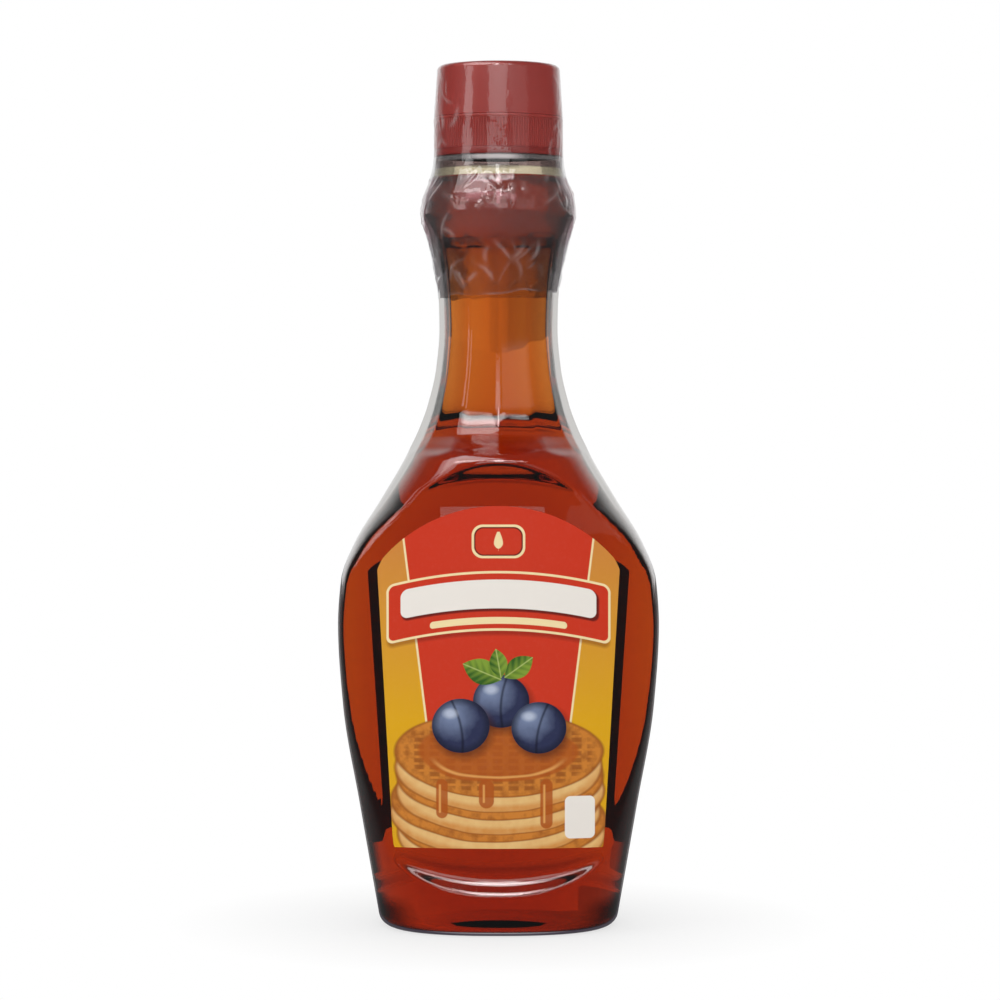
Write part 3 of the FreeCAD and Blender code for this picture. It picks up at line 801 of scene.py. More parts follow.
@dataclass(frozen=True)
class FrontPrint:
    """The front label's print: fields of colour, a bare ribbon and plums on waffles."""

    red: Colour = paint(205, 52, 24)
    cream: Colour = paint(244, 222, 170)
    white: Colour = paint(238, 232, 224)
    yellow: Colour = paint(222, 166, 16)
    orange: Colour = paint(208, 134, 58)
    shade: Colour = paint(110, 24, 14)
    cake: Colour = paint(206, 128, 46)
    crust: Colour = paint(150, 80, 24)
    crumb: Colour = paint(236, 200, 134)
    glaze: Colour = paint(176, 84, 20)
    shine: Colour = paint(238, 178, 98)
    plum: Colour = paint(44, 50, 84)
    bloom: Colour = paint(134, 150, 184)
    pit: Colour = paint(18, 20, 40)
    leaf: Colour = paint(128, 158, 52)
    leaf_dark: Colour = paint(52, 96, 30)
    waist: float = 66.2
    waist_half: float = 21.2
    flare: float = 0.1255
    ribbon_z: float = 99.0
    ribbon_sag: float = 0.0042
    layers: int = 4
    step: float = 6.6
    grid: float = 4.6
    plums: tuple = (Plum(0.8, 68.8, 8.2, 0.10), Plum(-11.0, 61.6, 8.4, -0.22), Plum(11.8, 61.0, 8.0, 0.25))
    leaves: tuple = (Leaf(1.0, 75.0, 12.5, 2.75), Leaf(1.6, 75.6, 10.5, 0.62), Leaf(0.8, 75.4, 9.0, 1.75))

    def build(self) -> bpy.types.Material:
        """Give the material."""
        dress = new_dress("front_print")
        rise = dress.clamped((dress.place()[2] - 62.0) / 52.0)
        sheet = Print(dress, dress.over(self.yellow, self.orange, rise))
        self.fields(sheet)
        self.ribbon(sheet)
        self.emblem(sheet)
        self.stack(sheet)
        for plum in self.plums:
            self.draw_plum(sheet, plum)
        for leaf in self.leaves:
            self.draw_leaf(sheet, leaf)
        sheet.lay(self.white, sheet.plate(23.8, 34.7, 4.4, 6.2, 1.6))
        mottle = dress.noise(900.0, 2.0)
        worn = dress.over(sheet.colour, paint(255, 255, 255), (mottle - 0.5) * 0.02)
        wave = dress.bump(dress.noise(45.0, 2.0), 0.12, 0.001)
        return dress.finish(dress.out("ShaderNodeBsdfPrincipled", None, {
            "Base Color": worn, "Roughness": 0.36 + mottle * 0.06, "Normal": wave,
            "Specular IOR Level": 0.2, "Coat Weight": 0.08, "Coat Roughness": 0.08}))

    def fields(self, sheet: Print) -> None:
        """Lay the red field with its cream outline."""
        dress = sheet.dress
        half = self.waist_half + (sheet.z - self.waist) * self.flare
        sheet.lay(self.cream, dress.inside(abs(sheet.x), half + 0.6, 0.2))
        sheet.lay(self.red, dress.inside(abs(sheet.x), half, 0.2))

    def ribbon(self, sheet: Print) -> None:
        """Lay a bare arched ribbon in a band of the red field's colour."""
        middle = self.ribbon_z - sheet.x * sheet.x * self.ribbon_sag
        sheet.lay(self.shade, sheet.plate(0.0, middle - 2.2, 32.6, 8.6, 2.0, 1.0) * 0.5)
        sheet.lay(self.cream, sheet.plate(0.0, middle - 0.9, 32.8, 8.7, 2.2))
        sheet.lay(self.red, sheet.plate(0.0, middle - 0.9, 32.1, 8.0, 1.7))
        sheet.lay(self.shade, sheet.plate(0.5, middle + 0.5, 28.9, 4.4, 2.2, 0.5))
        sheet.lay(self.white, sheet.plate(0.0, middle + 1.1, 28.6, 4.2, 2.2))
        sheet.lay(self.cream, sheet.plate(0.0, middle - 6.6, 20.0, 1.0, 0.9))

    def emblem(self, sheet: Print) -> None:
        """Lay a small ring with a drop in it."""
        dress = sheet.dress
        sheet.lay(self.cream, sheet.plate(0.0, 115.4, 7.8, 4.9, 3.2))
        sheet.lay(self.shade, sheet.plate(0.0, 115.4, 7.1, 4.2, 2.7))
        sheet.lay(self.red, sheet.plate(0.0, 115.4, 6.7, 3.8, 2.4))
        width = (117.9 - sheet.z) / 4.6
        round_off = dress.math("SQRT", dress.clamped(1.0 - width * width)) * 1.9
        drop = dress.inside(abs(sheet.x), round_off * dress.clamped(width + 0.25), 0.2)
        sheet.lay(self.cream, drop * dress.inside(abs(sheet.z - 115.4), 2.8, 0.2))

    def stack(self, sheet: Print) -> None:
        """Lay the stack of round waffles and the syrup on it."""
        dress = sheet.dress
        wobble = (dress.noise(70.0, 1.0) - 0.5) * 0.08
        spots = dress.noise(420.0, 3.0)
        toast = dress.over(self.cake, self.crust, dress.clamped((spots - 0.5) * 2.4 + 0.15))
        half_x, half_z = 30.4, 12.6
        for layer in range(self.layers):
            middle = 53.4 - (self.layers - 1 - layer) * self.step
            shift = (0.9, -0.8, 0.5, 0.0)[layer]
            side = sheet.oval(shift, middle - 4.2, half_x - 0.3, half_z) + wobble
            top = sheet.oval(shift, middle, half_x, half_z) + wobble
            lower = dress.clamped((sheet.oval(shift, middle - 2.6, half_x, half_z) - 0.94) / 0.1)
            sheet.lay(self.crust, dress.inside(side, 1.02, 0.03))
            sheet.lay(dress.over(self.crumb, self.cake, dress.clamped(spots * 0.5 + lower * 0.5)),
                      dress.inside(side, 1.0, 0.03))
            sheet.lay(self.crust, dress.inside(top, 1.01, 0.03))
            sheet.lay(toast, dress.inside(top, 0.985, 0.04))
        across = abs(dress.math("PINGPONG", sheet.x + 60.0, self.grid) - self.grid / 2) * 2 / self.grid
        depth = dress.math("PINGPONG", sheet.z * 2.3 + 1.5, self.grid)
        along = abs(depth - self.grid / 2) * 2 / self.grid
        pits = dress.inside(dress.most(1.0 - across, 1.0 - along), 0.62, 0.25)
        flat = dress.inside(sheet.oval(0.0, 53.4, half_x, half_z) + wobble, 0.9, 0.08)
        sheet.lay(self.crust, pits * flat * 0.75)
        pool = sheet.oval(-0.6, 54.0, 23.5, 8.8) + wobble * 2.0
        sheet.lay(self.glaze, dress.inside(pool, 1.0, 0.05) * 0.82)
        sheet.lay(self.shine, dress.inside(abs(pool - 0.86), 0.035, 0.05)
                  * dress.inside(sheet.z, 50.5, 4.0) * 0.7)
        for x, low, half in ((-16.5, 34.5, 1.7), (-3.5, 37.5, 2.2), (14.0, 31.5, 1.8)):
            middle, reach = (low + 46.0) / 2, (46.0 - low) / 2
            sheet.lay(self.glaze, sheet.plate(x, middle, half, reach, half, 0.3) * 0.9)
            sheet.lay(self.shine, sheet.plate(x - half * 0.35, middle, 0.3, reach - 1.6, 0.3, 0.4) * 0.7)

    def draw_plum(self, sheet: Print, plum: Plum) -> None:
        """Lay one plum with its bloom, its cleft and the shadow under it."""
        dress = sheet.dress
        x, z, radius = plum.x, plum.z, plum.radius
        shadow = sheet.disc(x + 0.8, z - 1.4, radius * 1.05, radius * 0.98, 2.4)
        sheet.lay(paint(70, 28, 12), shadow * 0.6)
        ball = sheet.disc(x, z, radius, radius * 0.94)
        lit = sheet.oval(x - radius * 0.35, z + radius * 0.38, radius, radius)
        dusty = dress.clamped((dress.noise(260.0, 3.0) - 0.5) * 1.6 + 0.5)
        colour = dress.over(self.bloom, self.plum, dress.clamped(lit * 0.95 - 0.05 + dusty * 0.25))
        sheet.lay(colour, ball)
        outline_shade = dress.clamped((sheet.oval(x, z, radius, radius * 0.94) - 0.72) / 0.28)
        sheet.lay(self.pit, ball * outline_shade * 0.75)
        bend = 0.02
        side = 1 if plum.lean > 0 else -1
        cleft = (sheet.x - x) - plum.lean * (sheet.z - z) - (sheet.z - z) * (sheet.z - z) * bend * side
        sheet.lay(self.pit, ball * dress.inside(abs(cleft), 0.35, 0.5) * 0.7)
        sheet.lay(paint(214, 222, 236), sheet.disc(x - radius * 0.36, z + radius * 0.42, radius * 0.22,
                                                   radius * 0.15, 1.2) * 0.55)

    def draw_leaf(self, sheet: Print, leaf: Leaf) -> None:
        """Lay one leaf with its veins."""
        dress = sheet.dress
        cosine, sine = math.cos(leaf.turn), math.sin(leaf.turn)
        run = (sheet.x - leaf.x) * cosine + (sheet.z - leaf.z) * sine
        along = run / leaf.length
        aside = (sheet.z - leaf.z) * cosine - (sheet.x - leaf.x) * sine
        width = dress.clamped(along) * dress.clamped(1.0 - along) * leaf.length * 1.25
        blade = dress.inside(abs(aside), width - 0.2, 0.25)
        veins = dress.math("PINGPONG", run - abs(aside) * 0.8 + 20.0, 1.1)
        tone = dress.clamped(aside * 0.18 + 0.4 + (veins - 0.5) * 0.5)
        sheet.lay(dress.over(self.leaf, self.leaf_dark, tone), blade)
        sheet.lay(paint(190, 204, 120), blade * dress.inside(abs(aside), 0.14, 0.3) * 0.8)


@dataclass(frozen=True)
class BackPrint:
    """The back label's print: a cream panel in a red border, with a plain band."""

    red: Colour = paint(196, 50, 26)
    cream: Colour = paint(238, 222, 186)
    band: Colour = paint(214, 160, 60)

    def build(self) -> bpy.types.Material:
        """Give the material."""
        dress = new_dress("back_print")
        sheet = Print(dress, self.red)
        sheet.lay(self.cream, sheet.plate(0.0, 66.0, 26.0, 33.0, 3.0))
        sheet.lay(self.band, sheet.plate(0.0, 93.0, 26.0, 2.2, 0.4))
        sheet.lay(self.red, sheet.plate(0.0, 60.0, 21.0, 0.35, 0.2))
        sheet.lay(self.red, sheet.plate(0.0, 46.0, 21.0, 0.35, 0.2))
        mottle = dress.noise(900.0, 2.0)
        return dress.finish(dress.out("ShaderNodeBsdfPrincipled", None, {
            "Base Color": dress.over(sheet.colour, paint(255, 255, 255), (mottle - 0.5) * 0.06),
            "Roughness": 0.34 + mottle * 0.06, "Coat Weight": 0.3, "Coat Roughness": 0.15}))


@dataclass(frozen=True)
class PaperReverse:
    """The unprinted side of a label, gummed to the wall."""

    paper: Colour = paint(196, 152, 122)
    gummed: Colour = paint(182, 138, 108)

    def build(self) -> bpy.types.Material:
        """Give the material."""
        dress = new_dress("paper_reverse")
        mottle = dress.noise(220.0, 3.0)
        return dress.finish(dress.out("ShaderNodeBsdfPrincipled", None, {
            "Base Color": dress.over(self.paper, self.gummed, mottle), "Roughness": 0.6 + mottle * 0.1}))


# -------------------------------------------------------------------------- pieces


@dataclass(frozen=True)
class Bottle:
    """The blown bottle's wall, from the dome under its foot to its mouth and back down inside."""

    skin: Skin = field(default_factory=Skin)
    around: int = 264
    base_wall: float = 0.9
    dome: float = 4.5
    ring: float = 3.3
    mouth_radius: float = 16.6
    mouth_wall: float = 1.9
    mouth_top: float = 239.3
    collar_top: float = 229.0

    def build(self) -> bpy.types.Object:
        """Give the wall as one closed piece."""
        skin = self.skin
        angles = np.arange(self.around) * TURN / self.around
        outer = np.concatenate([heel_heights(0.0, skin.heel, 6), spaced(
            (skin.heel, 8.0, 0.9), (8.0, 26.0, 0.45), (26.0, 124.0, 2.8), (124.0, 146.0, 0.45),
            (146.0, 203.6, 1.5), (203.6, 206.4, 0.28), (206.4, self.collar_top, 0.8))])
        inner = np.concatenate([heel_heights(self.base_wall, skin.heel, 4), spaced(
            (self.base_wall + skin.heel, 8.0, 1.4), (8.0, 26.0, 0.9), (26.0, 124.0, 5.0), (124.0, 146.0, 0.9),
            (146.0, self.collar_top - 0.8, 2.6))])
        outside = skin.rings(angles, outer)
        inside = skin.rings(angles, inner, walled=True, foot=self.base_wall)[::-1]
        radius, bore = self.mouth_radius, self.mouth_radius - self.mouth_wall
        lip = [(radius, self.collar_top)]
        lip += rounded((radius, self.mouth_top), (radius, self.collar_top), (bore, self.mouth_top), 0.5, 3)
        lip += rounded((bore, self.mouth_top), (radius, self.mouth_top), (bore, self.collar_top), 0.5, 3)
        lip.append((bore, self.collar_top))
        mouth = np.array([[(r * math.cos(a), r * math.sin(a), height) for a in angles] for r, height in lip])
        under = dome_rings(outside[0], 0.0, self.dome, self.ring, 10)
        floor = dome_rings(inside[-1], self.base_wall, self.dome, self.ring, 8)[::-1]
        rings = np.concatenate([under, outside, mouth, inside, floor])
        turnover = len(under) + len(outside) + len(mouth)
        clear = ClearWall()
        return ring_piece("bottle_wall", rings, [clear.build(), clear.build_inside()],
                          self.dome, self.base_wall + self.dome, lambda row: int(row >= turnover - 1))


@dataclass(frozen=True)
class SyrupFill:
    """The syrup, which reaches just into the wall and climbs it a little at its level."""

    skin: Skin = field(default_factory=Skin)
    around: int = 264
    into_wall: float = 0.06
    foot: float = 0.84
    level: float = 222.7
    climb: float = 0.4
    reach_in: float = 2.4
    dome: float = 4.5
    ring: float = 3.3

    def build(self) -> bpy.types.Object:
        """Give the syrup as one closed piece."""
        skin = self.skin
        angles = np.arange(self.around) * TURN / self.around
        heights = np.concatenate([heel_heights(self.foot, skin.heel, 6), spaced(
            (self.foot + skin.heel, 8.0, 0.9), (8.0, 26.0, 0.45), (26.0, 124.0, 2.4), (124.0, 146.0, 0.45),
            (146.0, 203.6, 1.5), (203.6, 206.4, 0.28), (206.4, self.level + self.climb, 0.8))])
        side = skin.rings(angles, heights, -self.into_wall, walled=True, foot=self.foot)
        under = dome_rings(side[0], self.foot, self.dome, self.ring, 10)
        edge = side[-1]
        reach = np.hypot(edge[:, 0], edge[:, 1])[:, None]
        top = []
        for step in range(1, 9):
            share = step / 8
            inward = edge[:, :2] * (reach - self.reach_in * share) / reach
            height = self.level + self.climb * (1 - share) ** 2.4
            top.append(np.concatenate([inward, np.full((len(edge), 1), height)], axis=1))
        for share in (0.7, 0.4, 0.15):
            flat = top[7][:, :2] * share
            top.append(np.concatenate([flat, np.full((len(edge), 1), self.level)], axis=1))
        rings = np.concatenate([under, side, np.array(top)])
        return ring_piece("syrup_fill", rings, [Syrup().build()], self.foot + self.dome, self.level)


@dataclass(frozen=True)
class Ribs:
    """Fine upright ribs round the cap's skirt, set out by a node tree."""

    count: int = 150
    radius: float = 19.0
    proud: float = 0.2
    width: float = 0.46
    foot: float = 231.2
    height: float = 8.6

    def tree(self, material: bpy.types.Material) -> bpy.types.NodeTree:
        """Build the node tree that stands one rib at each point of a circle.

        Args:
            material: the ribs' material.

        Returns:
            The node tree, with named inputs for its sizes.
        """
        tree = bpy.data.node_groups.new("ribs", "GeometryNodeTree")
        face = tree.interface
        face.new_socket("Geometry", in_out="INPUT", socket_type="NodeSocketGeometry")
        for name, kind in (("Count", "NodeSocketInt"), ("Radius", "NodeSocketFloat"),
                           ("Proud", "NodeSocketFloat"), ("Width", "NodeSocketFloat"),
                           ("Foot", "NodeSocketFloat"), ("Height", "NodeSocketFloat")):
            face.new_socket(name, in_out="INPUT", socket_type=kind)
        face.new_socket("Geometry", in_out="OUTPUT", socket_type="NodeSocketGeometry")
        add, link = tree.nodes.new, tree.links.new
        entry, leave = add("NodeGroupInput"), add("NodeGroupOutput")
        circle = add("GeometryNodeMeshCircle")
        link(entry.outputs["Count"], circle.inputs["Vertices"])
        link(entry.outputs["Radius"], circle.inputs["Radius"])
        rib = add("GeometryNodeMeshCylinder")
        rib.fill_type = "TRIANGLE_FAN"
        rib.inputs["Vertices"].default_value = 10
        rib.inputs["Radius"].default_value = 1.0
        rib.inputs["Depth"].default_value = 1.0
        size = add("ShaderNodeCombineXYZ")
        link(entry.outputs["Proud"], size.inputs["X"])
        link(entry.outputs["Width"], size.inputs["Y"])
        link(entry.outputs["Height"], size.inputs["Z"])
        shaped = add("GeometryNodeTransform")
        link(rib.outputs["Mesh"], shaped.inputs["Geometry"])
        link(size.outputs[0], shaped.inputs["Scale"])
        place = add("GeometryNodeInputPosition")
        turn = add("FunctionNodeAlignEulerToVector")
        turn.axis = "X"
        turn.pivot_axis = "Z"
        link(place.outputs[0], turn.inputs["Vector"])
        stand = add("GeometryNodeInstanceOnPoints")
        link(circle.outputs["Mesh"], stand.inputs["Points"])
        link(shaped.outputs["Geometry"], stand.inputs["Instance"])
        link(turn.outputs["Rotation"], stand.inputs["Rotation"])
        half = add("ShaderNodeMath")
        half.operation = "MULTIPLY_ADD"
        half.inputs[1].default_value = 0.5
        link(entry.outputs["Height"], half.inputs[0])
        link(entry.outputs["Foot"], half.inputs[2])
        lift = add("ShaderNodeCombineXYZ")
        link(half.outputs[0], lift.inputs["Z"])
        raised = add("GeometryNodeTransform")
        link(stand.outputs["Instances"], raised.inputs["Geometry"])
        link(lift.outputs[0], raised.inputs["Translation"])
        real = add("GeometryNodeRealizeInstances")
        link(raised.outputs["Geometry"], real.inputs["Geometry"])
        both = add("GeometryNodeJoinGeometry")
        link(real.outputs["Geometry"], both.inputs["Geometry"])
        dressed = add("GeometryNodeSetMaterial")
        dressed.inputs["Material"].default_value = material
        link(both.outputs["Geometry"], dressed.inputs["Geometry"])
        link(entry.outputs["Geometry"], both.inputs["Geometry"])
        link(dressed.outputs["Geometry"], leave.inputs["Geometry"])
        return tree

    def add_to(self, skirt: bpy.types.Object, material: bpy.types.Material) -> bpy.types.Object:
        """Stand the ribs on a skirt and give both as one plain mesh.

        Args:
            skirt: the smooth skirt.
            material: the material of both.

        Returns:
            The skirt's object with its new mesh.
        """
        tree = self.tree(material)
        modifier = skirt.modifiers.new("ribs", "NODES")
        modifier.node_group = tree
        sizes = {"Count": self.count, "Radius": self.radius * MM, "Proud": self.proud * MM,
                 "Width": self.width / 2 * MM, "Foot": self.foot * MM, "Height": self.height * MM}
        for item in tree.interface.items_tree:
            if item.in_out == "INPUT" and item.name in sizes:
                modifier[item.identifier] = sizes[item.name]
        graph = bpy.context.evaluated_depsgraph_get()
        mesh = bpy.data.meshes.new_from_object(skirt.evaluated_get(graph))
        skirt.modifiers.clear()
        skirt.data = mesh
        return skirt


@dataclass(frozen=True)
class Cap:
    """The two-part cap: a ribbed skirt round the mouth and a taller lid on it."""

    around: int = 192
    skirt_foot: float = 229.1
    parting: float = 240.8
    skirt_radius: float = 19.0
    rim_radius: float = 19.2
    bore: float = 16.85
    deck: float = 239.3
    lid_radius: float = 19.1
    draft: float = 0.95
    lid_top: float = 256.3
    edge: float = 1.6
    wall: float = 1.3
    groove: float = 0.35
    ribs: Ribs = field(default_factory=Ribs)

    def build(self) -> tuple[bpy.types.Object, bpy.types.Object]:
        """Give the skirt and the lid."""
        plastic = CapPlastic().build()
        foot, top = self.skirt_foot, self.parting
        profile = [(0.0, self.deck), (self.bore - 0.01, self.deck), (self.bore, self.deck - 0.01)]
        profile += [(self.bore, foot)]
        profile += rounded((self.rim_radius, foot), (self.bore, foot), (self.rim_radius, foot + 2), 0.35, 4)
        profile += [(self.rim_radius, foot + 1.5), (self.skirt_radius, foot + 1.9)]
        profile += [(self.skirt_radius, top - 0.9), (self.rim_radius, top - 0.75)]
        profile += rounded((self.rim_radius, top), (self.rim_radius, top - 1), (0.0, top), self.groove, 4)
        profile += [(self.rim_radius - 1.5, top), (0.0, top)]
        skirt = turned("cap_skirt", profile, self.around, [plastic])
        skirt = self.ribs.add_to(skirt, plastic)
        return skirt, self.lid(plastic)

    def lid(self, plastic: bpy.types.Material) -> bpy.types.Object:
        """Give the lid."""
        foot, top = self.parting, self.lid_top
        upper = self.lid_radius - self.draft
        profile = [(0.0, top - self.wall), (upper - self.wall, top - self.wall),
                   (self.lid_radius - self.wall, foot + 0.02)]
        profile += rounded((self.lid_radius, foot + 0.02), (self.lid_radius - self.wall, foot + 0.02),
                           (self.lid_radius - 0.06, foot + 1), self.groove, 4)
        profile += rounded((upper, top), (self.lid_radius, foot), (0.0, top), self.edge, 10)
        profile += [(upper * 0.8, top), (upper * 0.5, top - 0.12), (upper * 0.2, top - 0.16),
                    (0.0, top - 0.16)]
        return turned("cap_top", profile, self.around, [plastic])


@dataclass(frozen=True)
class Crease:
    """One crease of the film: where it is, how it lies, how big it is and how white its painted highlight is.
    """

    angle: float
    height: float
    turn: float
    length: float
    width: float
    depth: float
    bend: float
    # Painted highlight: how strongly the crease is whitened.
    white: float


@dataclass(frozen=True)
class Film:
    """The clear film shrunk over cap, collar and upper neck, with its creases and their painted highlights.
    """

    skin: Skin = field(default_factory=Skin)
    around: int = 384
    low: float = 186.9
    wave: float = 2.4
    collar: tuple = (
        (189.5, 18.32), (195.0, 19.2), (203.0, 21.0), (208.5, 22.5), (212.5, 23.2),
        (217.0, 22.6), (222.0, 20.7), (226.5, 19.65), (230.2, 19.33))
    skirt: float = 19.26
    parting: float = 240.8
    shoulder: float = 254.6
    shoulder_radius: float = 18.35
    top: float = 256.38
    edge: float = 1.7
    fold: float = 2.6
    creases: int = 140
    seed: int = 11

    def profile(self) -> tuple[np.ndarray, np.ndarray]:
        """Give the radius and height of the smooth film from its foot to its fold."""
        rows = [(self.low, 18.05)] + list(self.collar) + [(self.parting, self.skirt)]
        heights = spaced((self.low, self.parting, 0.46))
        radii = eased([row[0] for row in rows], [row[1] for row in rows], heights)
        points = list(zip(radii, heights))
        for step in range(1, 28):
            share = step / 28
            points.append((self.skirt + (self.shoulder_radius - self.skirt) * share,
                           self.parting + (self.shoulder - self.parting) * share))
        for step in range(0, 9):
            turn = math.pi / 2 * step / 8
            points.append((self.shoulder_radius - self.edge * (1 - math.cos(turn)),
                           self.top - self.edge * (1 - math.sin(turn))))
        end = self.shoulder_radius - self.edge
        points += [(end - self.fold * share / 5, self.top) for share in range(1, 6)]
        table = np.array(points)
        return table[:, 0], table[:, 1]

    def make_creases(self) -> list[Crease]:
        """Draw the creases from a fixed seed."""
        draw = np.random.default_rng(self.seed)
        made = []
        for index in range(self.creases):
            on_cap = index % 3 == 0
            height = draw.uniform(231, 255) if on_cap else draw.uniform(190, 229)
            # Creases on the cap stand near its left and right sides and are fully whitened there as painted
            # highlights.
            beside = draw.normal(0.0, 0.35) + math.pi * draw.integers(0, 2)
            made.append(Crease(
                angle=beside if on_cap else draw.uniform(0, TURN), height=height,
                turn=draw.uniform(0.5, 2.6), length=draw.uniform(2.5, 7.0 if on_cap else 9.0),
                width=draw.uniform(0.3, 0.8),
                depth=draw.uniform(0.05, 0.12) if on_cap else draw.uniform(0.10, 0.34),
                bend=draw.uniform(-0.12, 0.12), white=1.0 if on_cap else draw.uniform(0.3, 0.9)))
        return made

    def build(self) -> bpy.types.Object:
        """Give the film as one thin skin."""
        radii, heights = self.profile()
        angles = np.arange(self.around) * TURN / self.around
        radius = np.repeat(radii[:, None], self.around, axis=1)
        height = np.repeat(heights[:, None], self.around, axis=1)
        along = np.cumsum(np.hypot(np.diff(radii, prepend=radii[0]), np.diff(heights, prepend=heights[0])))
        lift = along[:, None] + self.low
        # Painted highlights: how white each point is painted, kept as the film's crease attribute.
        glint_marks = np.zeros_like(radius)
        calm = 1 - np.exp(-((height - 225.2) / 2.4) ** 4)
        for crease in self.make_creases():
            across = (angles[None, :] - crease.angle + math.pi) % TURN - math.pi
            u, v = across * 20.0, lift - crease.height
            cosine, sine = math.cos(crease.turn), math.sin(crease.turn)
            run, off = u * cosine + v * sine, v * cosine - u * sine
            off = off - crease.bend * run * run
            ends = np.exp(-(run / crease.length * 2) ** 4)
            ridge = np.exp(-(off / crease.width) ** 2) * ends * calm
            radius += crease.depth * ridge
            glint_marks = np.maximum(glint_marks, ridge * crease.white)
        gather = np.exp(-((height - 222.0) / 9.0) ** 2) + 0.6 * np.exp(-((height - 196.0) / 8.0) ** 2)
        folds = np.sin(angles * 17 + 1.3 * np.sin(angles * 5)) + 0.6 * np.sin(angles * 29 + 2.0)
        radius += 0.10 * gather * calm * np.clip(folds, 0, None)[None, :]
        droop = np.clip((self.low + 12 - height) / 12, 0, 1)
        edge = (0.16 * np.sin(angles * 5 + 0.8) + 0.07 * np.sin(angles * 11 + 2.1)
                + 0.42 * np.cos(angles) + 0.45)
        height = height + droop * self.wave * np.clip(edge, 0, None)[None, :]
        # Painted highlight: the film's lower edge is whitened in patches.
        glint_marks[:2] = 0.28 + 0.30 * np.sin(angles * 3 + 1.0) * np.sin(angles * 7)
        rings = np.stack([radius * np.cos(angles), radius * np.sin(angles), height], axis=-1)
        sleeve = ring_piece("film_sleeve", rings, [ShrunkFilm().build()])
        layer = sleeve.data.attributes.new("crease", "FLOAT", "POINT")
        layer.data.foreach_set("value", glint_marks.ravel())
        return sleeve


class Side(Enum):
    """Which way a label faces."""

    FRONT = -1
    BACK = 1


@dataclass(frozen=True)
class Label:
    """One paper label on its panel: an arched top, rounded shoulders, a narrower foot."""

    side: Side
    name: str
    inset: float = 0.0
    skin: Skin = field(default_factory=Skin)
    low: float = 25.7
    high: float = 125.7
    shoulder: float = 108.2
    top_half: float = 35.55
    foot_half: float = 30.85
    shoulder_turn: float = 4.0
    shoulder_soft: float = 6.0
    corner: float = 2.0
    clear: float = 0.02
    thickness: float = 0.12
    columns: int = 90
    rows: int = 14

    def edges(self, across: float) -> tuple[float, float]:
        """Give the heights of the label's lower and upper edge at a distance from its middle.

        Args:
            across: the distance, up to the label's widest.

        Returns:
            The lower and the upper height.
        """
        low, high = self.low + self.inset, self.high - self.inset
        foot, half = self.foot_half - self.inset, self.top_half - self.inset
        slope = (self.shoulder - low) / (half - foot)
        rise = high - self.shoulder
        radius = (half ** 2 + rise ** 2) / (2 * rise)
        side = low + (across - foot) * slope
        bottom = float(soft_most(np.array(low), np.array(side), self.corner * 3.4))
        arch = high - radius + math.sqrt(max(0.0, radius ** 2 - across ** 2))
        fall = self.shoulder + (half - across) * self.shoulder_turn
        top = float(soft_least(np.array(arch), np.array(fall), self.shoulder_soft))
        return bottom, top

    def build(self, material: bpy.types.Material, reverse: bpy.types.Material) -> bpy.types.Object:
        """Give the label as one thin closed piece.

        Args:
            material: its print, which faces outward.
            reverse: the bare paper that faces the wall.

        Returns:
            The new object.
        """
        half = self.top_half - self.inset
        while self.edges(half)[1] <= self.edges(half)[0]:
            half -= 0.005
        sheet = bmesh.new()
        grid = []
        for column in range(-self.columns, self.columns + 1):
            across = half * math.sin(math.pi / 2 * column / self.columns)
            bottom, top = self.edges(abs(across))
            heights = np.linspace(bottom, max(top, bottom), self.rows + 1)
            grid.append([sheet.verts.new((across * MM, 0.0, height * MM)) for height in heights])
        for left, right in zip(grid, grid[1:]):
            for row in range(self.rows):
                sheet.faces.new((left[row], right[row], right[row + 1], left[row + 1]))
        made = bmesh.ops.extrude_face_region(sheet, geom=sheet.faces[:])
        lifted = {item for item in made["geom"] if isinstance(item, bmesh.types.BMVert)}
        for vertex in sheet.verts:
            proud = self.clear + (self.thickness if vertex in lifted else 0.0)
            vertex.co.y = self.side.value * self.skin.panel_depth(vertex.co.x / MM, proud) * MM
        bmesh.ops.remove_doubles(sheet, verts=sheet.verts[:], dist=1e-6)
        bmesh.ops.recalc_face_normals(sheet, faces=sheet.faces[:])
        mesh = bpy.data.meshes.new(self.name)
        sheet.to_mesh(mesh)
        sheet.free()
        mesh.materials.append(material)
        mesh.materials.append(reverse)
        inward = [polygon.normal.y * self.side.value < 0.0 for polygon in mesh.polygons]
        mesh.polygons.foreach_set("material_index", [int(turned_in) for turned_in in inward])
        mesh.polygons.foreach_set("use_smooth", [True] * len(mesh.polygons))
        mesh.set_sharp_from_angle(angle=math.radians(40))
        piece = bpy.data.objects.new(self.name, mesh)
        bpy.context.scene.collection.objects.link(piece)
        return piece


# --------------------------------------------------------------------------- studio


@dataclass(frozen=True)
class Lamp:
    """One soft box: where it stands round the bottle, its size and how bright it looks."""

    name: str
    azimuth: float
    elevation: float
    distance: float
    width: float
    height: float
    brightness: float
    shines: bool = False
    fills: bool = True

    def build(self, centre: tuple[float, float, float]) -> None:
        """Stand the lamp, facing the bottle."""
        data = bpy.data.lights.new(self.name, "AREA")
        data.shape = "RECTANGLE"
        data.size, data.size_y = self.width, self.height
        data.energy = self.brightness * self.width * self.height * math.pi
        lamp = bpy.data.objects.new(self.name, data)
        turn, lift = math.radians(self.azimuth), math.radians(self.elevation)
        lamp.location = (centre[0] + self.distance * math.sin(turn) * math.cos(lift),
                         centre[1] - self.distance * math.cos(turn) * math.cos(lift),
                         centre[2] + self.distance * math.sin(lift))
        lamp.rotation_euler = (math.pi / 2 - lift, 0.0, turn)
        lamp.visible_camera = False
        lamp.visible_transmission = False
        lamp.visible_glossy = self.shines
        lamp.visible_diffuse = self.fills
        bpy.context.scene.collection.objects.link(lamp)


